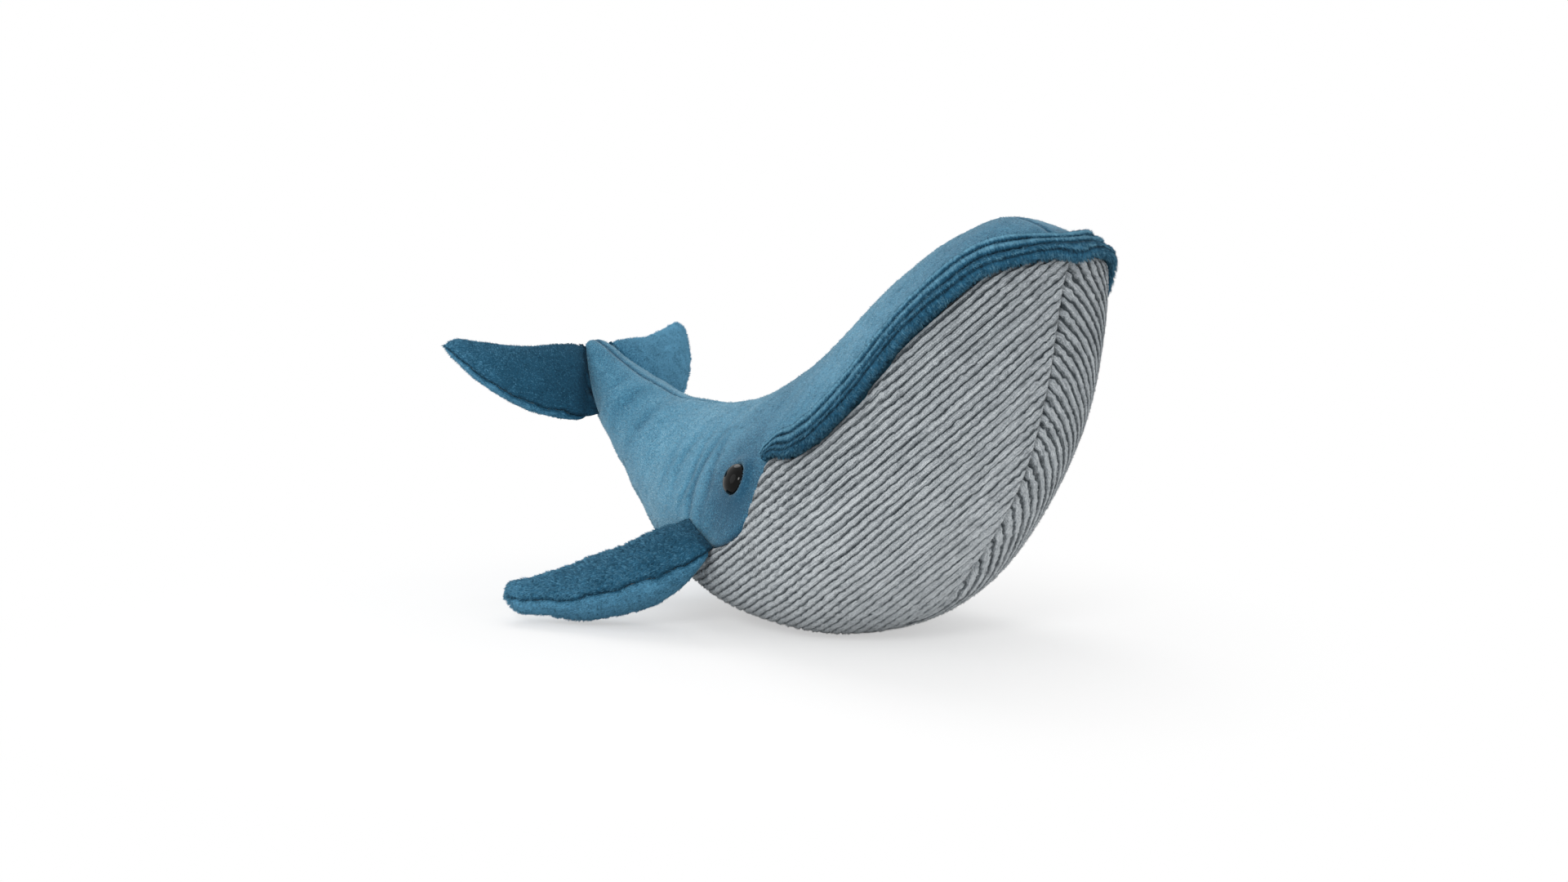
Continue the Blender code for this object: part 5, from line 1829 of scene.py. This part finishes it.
        outer = settle(points + normals * push[..., None])
        inner = settle(points - normals * depth[..., None])
        drawn = self.draw(outer, rows)
        outer, inner = outer + drawn, (inner + drawn)[::STRIDE, ::STRIDE]
        outer[..., 2] = np.maximum(outer[..., 2], FLOOR_CLEARANCE)
        towards_tip = np.broadcast_to(self.span, points.shape) * self.nap_along
        nap = unit(towards_tip + (points - middle) * self.nap_spread)
        root = bump(np.linalg.norm(outer - outer[:1], axis=-1), self.root_width)
        # Painted shade along the seam and the root, and painted shade near the root that turns to painted light
        # at the tip.
        darker, lighter = self.form.painted_shading
        painted_seam_shade = edge * self.edge_shade * room + root * self.root_shade
        relief = painted_seam_shade + darker - lighter * np.clip(rows / last, 0, 1)
        return Grid(outer, normals, nap, np.clip(relief, LIGHTEST, 1)), inner

    def draw(self, outer: np.ndarray, rows: np.ndarray) -> np.ndarray:
        """How far the cloth is drawn to the body, so that no slit shows at the root.

        Args:
            outer: The outer wall's points.
            rows: Their rows.

        Returns:
            The shifts, which die out along the limb.
        """
        first, last = self.root_rows
        share = 1 - np.clip((rows - first) / (last - first), 0, 1)
        share = share * share * (3 - 2 * share)
        goals = []
        middle = (outer[0].min(0) + outer[0].max(0)) / 2
        for spot in middle + (outer[0] - middle) * self.root_share:
            foot, up, *_ = self.skin.find_nearest(Vector(spot))
            goals.append(np.array(foot) - np.array(up) * self.root_sink)
        return (np.array(goals) - outer[0]) * share[..., None]

    def build(self, materials: dict[Face, bpy.types.Material]) -> None:
        """Build the limb on both sides.

        Args:
            materials: The dark plush of each panel; the lower panels' is a lighter copy, painted light.
        """
        for face in Face:
            grid, inner = self.panel(face)
            lighter = replace(grid, relief=grid.relief - self.form.tone_shift)
            for side in Side:
                wall = lighter if side is Side.LEFT else grid.mirrored()
                body = f"{self.form.word}_{side.word}"
                cloth = sew(f"plush_{body}_{face.word}", wall, inner * side.flip)
                keep = np.ones(wall.points.shape[:2])
                with_pile(cloth, self.pile.grow(wall, keep, 70 + face.value + 2 * side.value))
                finish_piece(cloth, materials[face], (f"{body}_{face.word}",))
                self.bend(cloth, side)

    def bend(self, piece: bpy.types.Object, side: Side) -> None:
        """Bake a piece's placement into its mesh.

        Args:
            piece: The piece.
            side: Not used.
        """
        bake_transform(piece)


@dataclass
class SafetyEye:
    """A moulded dome with a ridged shaft, as a safety eye is made."""

    diameter: float = 18 * MM
    dome_height: float = 6.2 * MM
    rim: float = 1.0 * MM
    seat_depth: float = 1.2 * MM
    shaft_diameter: float = 4.6 * MM
    shaft_length: float = 12 * MM
    hole_depth: float = 8 * MM
    ridges: int = 4
    # Steps of one ridge: by how much each makes the shaft wider, and its share of the ridge.
    ridge_steps: Pairs = ((1.0, 0.35), (0.84, 0.1), (1.0, 0.45), (1 / 0.84, 0.1))
    edge_round: float = 0.12 * MM

    def ring(self, work: bmesh.types.BMesh, height: float) -> None:
        """Select the edges that lie at a height.

        Args:
            work: The mesh being edited.
            height: The height.
        """
        for item in (*work.faces, *work.edges, *work.verts):
            item.select = False
        for edge in work.edges:
            if edge.is_boundary and all(abs(v.co.z - height) < MERGE for v in edge.verts):
                edge.select = True
                for vert in edge.verts:
                    vert.select = True

    def stand(self, obj: bpy.types.Object, side: Side) -> None:
        """Turn a piece made upright at the origin onto its place on the head.

        Args:
            obj: The piece.
            side: Its side.
        """
        obj.rotation_mode = "QUATERNION"
        obj.rotation_quaternion = Vector(SOCKET.outward * side.flip).to_track_quat("Z", "Y")
        obj.location = Vector(SOCKET.centre * side.flip)
        only(obj)
        bpy.ops.object.transform_apply(location=True, rotation=True, scale=True)

    def dome(self, name: str) -> bpy.types.Object:
        """Model the eye upright, with its seat plane at minus the seat depth.

        Args:
            name: The piece's name.

        Returns:
            The piece.
        """
        radius, shaft = self.diameter / 2, self.shaft_diameter / 2
        bpy.ops.object.select_all(action="DESELECT")
        bpy.ops.mesh.primitive_uv_sphere_add(segments=72, ring_count=48, radius=radius, location=(0, 0, 0))
        obj = bpy.context.object
        obj.name = obj.data.name = name
        bpy.ops.object.mode_set(mode="EDIT")
        bpy.ops.mesh.select_all(action="SELECT")
        bpy.ops.mesh.bisect(plane_co=(0, 0, 0), plane_no=(0, 0, 1), clear_inner=True)
        bpy.ops.mesh.select_all(action="SELECT")
        bpy.ops.transform.resize(value=(1, 1, (self.dome_height - self.rim) / radius),
                                 center_override=(0, 0, 0))
        work = bmesh.from_edit_mesh(obj.data)
        self.ring(work, 0)
        bmesh.update_edit_mesh(obj.data)
        bpy.ops.mesh.extrude_region_move(TRANSFORM_OT_translate={"value": (0, 0, -self.rim)})
        bpy.ops.mesh.extrude_region_move()
        bpy.ops.transform.resize(value=(shaft / radius, shaft / radius, 1), center_override=(0, 0, 0))
        step = self.shaft_length / self.ridges
        for _ in range(self.ridges):
            for grow, drop in self.ridge_steps:
                bpy.ops.mesh.extrude_region_move(TRANSFORM_OT_translate={"value": (0, 0, -drop * step)})
                bpy.ops.transform.resize(value=(grow, grow, 1), center_override=(0, 0, 0))
        bpy.ops.mesh.edge_face_add()
        bpy.ops.mesh.select_all(action="SELECT")
        bpy.ops.transform.translate(value=(0, 0, self.rim - self.seat_depth))
        bpy.ops.mesh.normals_make_consistent(inside=False)
        bpy.ops.object.mode_set(mode="OBJECT")
        bevel = obj.modifiers.new("edges", "BEVEL")
        bevel.width, bevel.segments, bevel.limit_method = self.edge_round, 2, "ANGLE"
        bpy.ops.object.modifier_apply(modifier=bevel.name)
        bpy.ops.object.shade_smooth_by_angle(angle=math.radians(40))
        return obj

    def seat_cutter(self, side: Side) -> bpy.types.Object:
        """The solid that cuts the eye's seat and its shaft's hole in the plush.

        Args:
            side: Its side.

        Returns:
            The solid.
        """
        wide, slim = self.diameter / 2 + SEAM_GAP, self.shaft_diameter / 2 + SEAM_GAP
        floor, top = -self.seat_depth - SEAM_GAP, self.dome_height
        bpy.ops.object.select_all(action="DESELECT")
        bpy.ops.mesh.primitive_cylinder_add(vertices=48, radius=wide, depth=top - floor,
                                            end_fill_type="NGON", location=(0, 0, (top + floor) / 2))
        obj = bpy.context.object
        bpy.ops.object.mode_set(mode="EDIT")
        work = bmesh.from_edit_mesh(obj.data)
        for face in work.faces:
            face.select = face.normal.z < -0.9
        work.select_flush_mode()
        bmesh.update_edit_mesh(obj.data)
        bpy.ops.mesh.inset(thickness=wide - slim)
        bpy.ops.mesh.extrude_region_move(TRANSFORM_OT_translate={"value": (0, 0, -self.hole_depth)})
        bpy.ops.object.mode_set(mode="OBJECT")
        self.stand(obj, side)
        return obj

    def build(self, gloss: bpy.types.Material, plastic: bpy.types.Material) -> None:
        """Build both eyes and finish their washers.

        Args:
            gloss: The eye's plastic.
            plastic: The washer's plastic.
        """
        for side in Side:
            eye = self.dome(f"safety_eye_{side.word}")
            self.stand(eye, side)
            finish_piece(eye, gloss, (f"eye_{side.word}",))
            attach(eye, "body")
            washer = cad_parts[f"eye_washer_{side.word}"]
            washer.data.materials.clear()
            washer.data.materials.append(plastic)
            LOG.info("%s keeps its CAD mesh", washer.name)


@dataclass(frozen=True)
class FillLump:
    """A lump of filling or the pouch: the CAD solid's own form, made fuller of detail."""

    node: str
    cuts: int
    depth: float
    wavelength: float
    fill: float

    def build(self, material: bpy.types.Material, slot: str) -> bpy.types.Object:
        """Make the lump from a merged copy of its CAD solid.

        Args:
            material: Its material.
            slot: Not used.

        Returns:
            The piece.
        """
        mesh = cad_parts[self.node].data.copy()
        mesh.name = f"soft_{self.node}"
        piece = bpy.data.objects.new(f"soft_{self.node}", mesh)
        bpy.context.scene.collection.objects.link(piece)
        work = bmesh.new()
        work.from_mesh(mesh)
        bmesh.ops.remove_doubles(work, verts=work.verts[:], dist=MERGE)
        bmesh.ops.subdivide_edges(work, edges=work.edges[:], cuts=self.cuts, use_grid_fill=True)
        work.normal_update()
        points = np.array([v.co[:] for v in work.verts])
        lumps, flocks = ripple(points, self.wavelength, 90), ripple(points, self.wavelength / 3, 91)
        for vert, share in zip(work.verts, np.clip((1 + lumps) / 2 + (1 + flocks) / 5, 0, 1)):
            vert.co -= vert.normal * float(share) * self.depth
        work.to_mesh(mesh)
        work.free()
        layer = mesh.attributes.new("rest", "FLOAT_VECTOR", "POINT")
        layer.data.foreach_set("vector", points.ravel())
        mesh.shade_smooth()
        finish_piece(piece, material, (self.node,))
        return piece


class Filling:
    """All the lumps of filling and the pellet pouch."""

    body_lumps = (
        FillLump("stuffing_tail", 2, 0.9 * MM, 14 * MM, 0.7),
        FillLump("stuffing_body", 2, 0.9 * MM, 16 * MM, 0.8),
        FillLump("stuffing_head", 2, 0.9 * MM, 16 * MM, 0.8),
    )
    pouch = FillLump("pellet_pouch", 2, 0.8 * MM, 5 * MM, 0.6)

    def build(self, fibre: bpy.types.Material, calico: bpy.types.Material, limbs: list[Limb]) -> None:
        """Build the filling.

        Args:
            fibre: The fibre's material.
            calico: The pouch's material.
            limbs: The limbs, whose filling is built on both sides.
        """
        for lump in self.body_lumps:
            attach(lump.build(fibre, "fibre_filling"), "body")
        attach(self.pouch.build(calico, "pouch_cloth"), "body")
        for limb in limbs:
            for side in Side:
                lump = FillLump(f"stuffing_{limb.form.word}_{side.word}", 2, 0.4 * MM, 10 * MM, 0.75)
                limb.bend(lump.build(fibre, "fibre_filling"), side)


# The studio


@dataclass(frozen=True)
class Lamp:
    """A soft round studio lamp."""

    name: str
    place: tuple[float, float, float]
    size: float
    power: float

    def build(self, target: Vector) -> None:
        """Set up the lamp.

        Args:
            target: What it points at.
        """
        data = bpy.data.lights.new(self.name, "AREA")
        data.shape, data.size, data.energy = "DISK", self.size, self.power
        lamp = bpy.data.objects.new(self.name, data)
        lamp.location = self.place
        lamp.rotation_euler = (target - lamp.location).to_track_quat("-Z", "Y").to_euler()
        bpy.context.scene.collection.objects.link(lamp)


@dataclass(frozen=True)
class Studio:
    """The floor, the light and the camera of the photograph."""

    camera_place: tuple[float, float, float] = (-1.0350, -1.1401, 0.300)
    camera_pitch: float = 82.69
    camera_heading: float = -42.0
    lens: float = 61.14  # millimetres, on a sensor of the width below
    sensor: float = 36.0
    ambient: float = 0.68
    aim: tuple[float, float, float] = (0, -0.02, 0.1)  # what the lamps point at
    floor_size: float = 12.0
    # The floor is paper near the whale and white further out, so that only its own shade shows.
    paper_centre: tuple[float, float, float] = (-0.10, -0.013, 0)
    paper_radius: float = 0.15
    white_radius: float = 0.40
    least_white: float = 0.50
    lamps: tuple[Lamp, ...] = (
        Lamp("key_lamp", (-1.35, -0.83, 0.89), 0.50, 11.0),
        Lamp("side_lamp", (-1.5, 0.7, 0.8), 1.2, 4.0),
        Lamp("front_lamp", (-0.6, -1.5, 0.06), 0.9, 4.5),
        Lamp("right_lamp", (0.9, -1.2, 0.06), 0.9, 7.5),
        Lamp("back_lamp", (0.3, 1.0, 1.4), 1.0, 8.0),
    )

    def camera(self) -> None:
        """Set up the camera at the photograph's viewing angle."""
        data = bpy.data.cameras.new("photograph_camera")
        data.lens, data.sensor_width = self.lens, self.sensor
        data.clip_start, data.clip_end = 0.01, 20.0
        obj = bpy.data.objects.new("photograph_camera", data)
        obj.location = self.camera_place
        obj.rotation_euler = (math.radians(self.camera_pitch), 0, math.radians(self.camera_heading))
        bpy.context.scene.collection.objects.link(obj)
        bpy.context.scene.camera = obj

    def seen_directly(self, tree: bpy.types.NodeTree) -> bpy.types.NodeSocket:
        """Whether a ray comes from the camera, a reflection or a clear part.

        Args:
            tree: The node tree.

        Returns:
            A socket of 1 for such rays and 0 for others.
        """
        rays = add_node(tree, "LightPath").outputs
        first = add_node(tree, "Math", {"operation": "MAXIMUM"},
                         {0: rays["Is Camera Ray"], 1: rays["Is Glossy Ray"]}).outputs[0]
        return add_node(tree, "Math", {"operation": "MAXIMUM"},
                        {0: first, 1: rays["Is Transmission Ray"]}).outputs[0]

    def floor(self) -> None:
        """Lay a white floor that fades into the white background."""
        bpy.ops.object.select_all(action="DESELECT")
        bpy.ops.mesh.primitive_plane_add(size=self.floor_size, location=(0, 0, 0))
        floor = bpy.context.object
        floor.name = "studio_floor"
        made, tree, output = new_tree("paper_white")
        place = add_node(tree, "TexCoord").outputs["Object"]
        distance = add_node(tree, "VectorMath", {"operation": "DISTANCE", 1: self.paper_centre},
                            {0: place}).outputs["Value"]
        far = add_node(tree, "MapRange", {
            "From Min": self.paper_radius, "From Max": self.white_radius, "To Min": self.least_white,
            "interpolation_type": "SMOOTHSTEP",
        }, {0: distance}).outputs[0]
        share = add_node(tree, "Math", {"operation": "MULTIPLY"},
                         {0: far, 1: self.seen_directly(tree)}).outputs[0]
        paper = add_node(tree, "BsdfDiffuse", {"Color": colour("#F4F4F4")}).outputs[0]
        glow = add_node(tree, "Emission", {"Color": colour("#FFFFFF"), "Strength": 1.0}).outputs[0]
        mixed = add_node(tree, "MixShader", links={0: share, 1: paper, 2: glow}).outputs[0]
        tree.links.new(mixed, output.inputs["Surface"])
        floor.data.materials.append(made)

    def world(self) -> None:
        """A white background and an even soft light."""
        world = bpy.data.worlds.new("studio_world")
        bpy.context.scene.world = world
        world.use_nodes = True
        tree = world.node_tree
        tree.nodes.clear()
        strength = add_node(tree, "MapRange", {"To Min": self.ambient, "To Max": 1.0},
                            {0: self.seen_directly(tree)}).outputs[0]
        background = add_node(tree, "Background", {"Color": colour("#FFFFFF")},
                              {"Strength": strength})
        output = add_node(tree, "OutputWorld")
        tree.links.new(background.outputs[0], output.inputs["Surface"])

    def build(self) -> None:
        """Set up the studio."""
        scene = bpy.context.scene
        scene.view_settings.view_transform = "Standard"
        self.camera()
        self.world()
        self.floor()
        for lamp in self.lamps:
            lamp.build(Vector(self.aim))


# All together


FLIPPER = LimbForm(
    "flipper", length=122 * MM, chord=48 * MM, thickness=38.5 * MM, welt=2.0 * MM, edge_share=0.10,
    seam=((8.08, 0.528), (7.72, 0.490), (7.36, 0.456)), table=FLIPPER_ROWS,
    sweep=59.0, droop=19.0, roll=22.0, painted_shading=(0.35, 0.9))
FLUKE = LimbForm(
    "fluke", length=92 * MM, chord=60 * MM, thickness=21 * MM, welt=1.6 * MM, edge_share=0.14,
    seam=((3.70, 0.640), (2.40, 0.505), (1.15, 0.340)), table=FLUKE_ROWS,
    sweep=29.7, droop=-15.5, roll=52.0, painted_shading=(0.80, 1.3), tone_shift=1.0)
FLIPPER_PILE = Pile(2.0 * MM, 0.42 * MM, 0.80, 2.4, spread=0.28, softness=0.45,
                    clump=7 * MM, tuft=1.5 * MM, drawn=0.5)
FLUKE_PILE = Pile(1.4 * MM, 0.4 * MM, 0.80, 2.4, spread=0.25, softness=0.6,
                  clump=9 * MM, tuft=1.0 * MM, drawn=0.3)

BLUE = Plush("minky_plush_blue", "#1F4A63", "#4D87A3", "#9CC5D6", "#BCD2DC", start=-0.42,
             tone_gain=0.30, grain_gain=1.10, sheen_weight=0.34, bump_height=0.7 * MM)
DEEP_BLUE = Plush("minky_plush_deep_blue", "#0A2636", "#1F4E67", "#609CBC", "#6FA3BC", start=-0.25,
                  tip_gain=0.34, tone_gain=0.44, grain_gain=0.75, sheen_weight=0.12)
# A lighter copy of the deep blue plush for the limbs' lower panels: painted light.
DEEP_BLUE_PAINTED_LIGHTER = replace(DEEP_BLUE, name="minky_plush_deep_blue_lower", start=0.0, tone_gain=0.34)
ROLL_BLUE = Plush("minky_plush_deep_blue_brushed", "#0A2331", "#21506A", "#6294AC", "#6FA3BC", start=-0.02,
                  tip_gain=0.26, tone_gain=0.42, crease_gain=0.5, streak_gain=0.7, sheen_weight=0.1)


def main() -> None:
    """Dress the whale and set up the studio."""
    logging.basicConfig(level=logging.INFO, format="%(name)s: %(message)s")
    eye = SafetyEye()
    blue = BLUE.build()
    panels = {Face.UPPER: DEEP_BLUE.build(), Face.LOWER: DEEP_BLUE_PAINTED_LIGHTER.build()}
    roll_blue = ROLL_BLUE.build()
    PlushBack().build(blue, {side: (lambda side=side: eye.seat_cutter(side)) for side in Side})
    CordBelly().build(Corduroy().build())
    LipRolls().build(roll_blue)
    limbs = [Limb(FLIPPER, FLIPPER_PILE), Limb(FLUKE, FLUKE_PILE)]
    for limb in limbs:
        limb.build(panels)
    eye.build(EyePlastic().build(), WasherPlastic().build())
    Filling().build(FibreFill().build(), PouchCloth().build(), limbs)
    Studio().build()


if __name__ == "__main__":
    main()
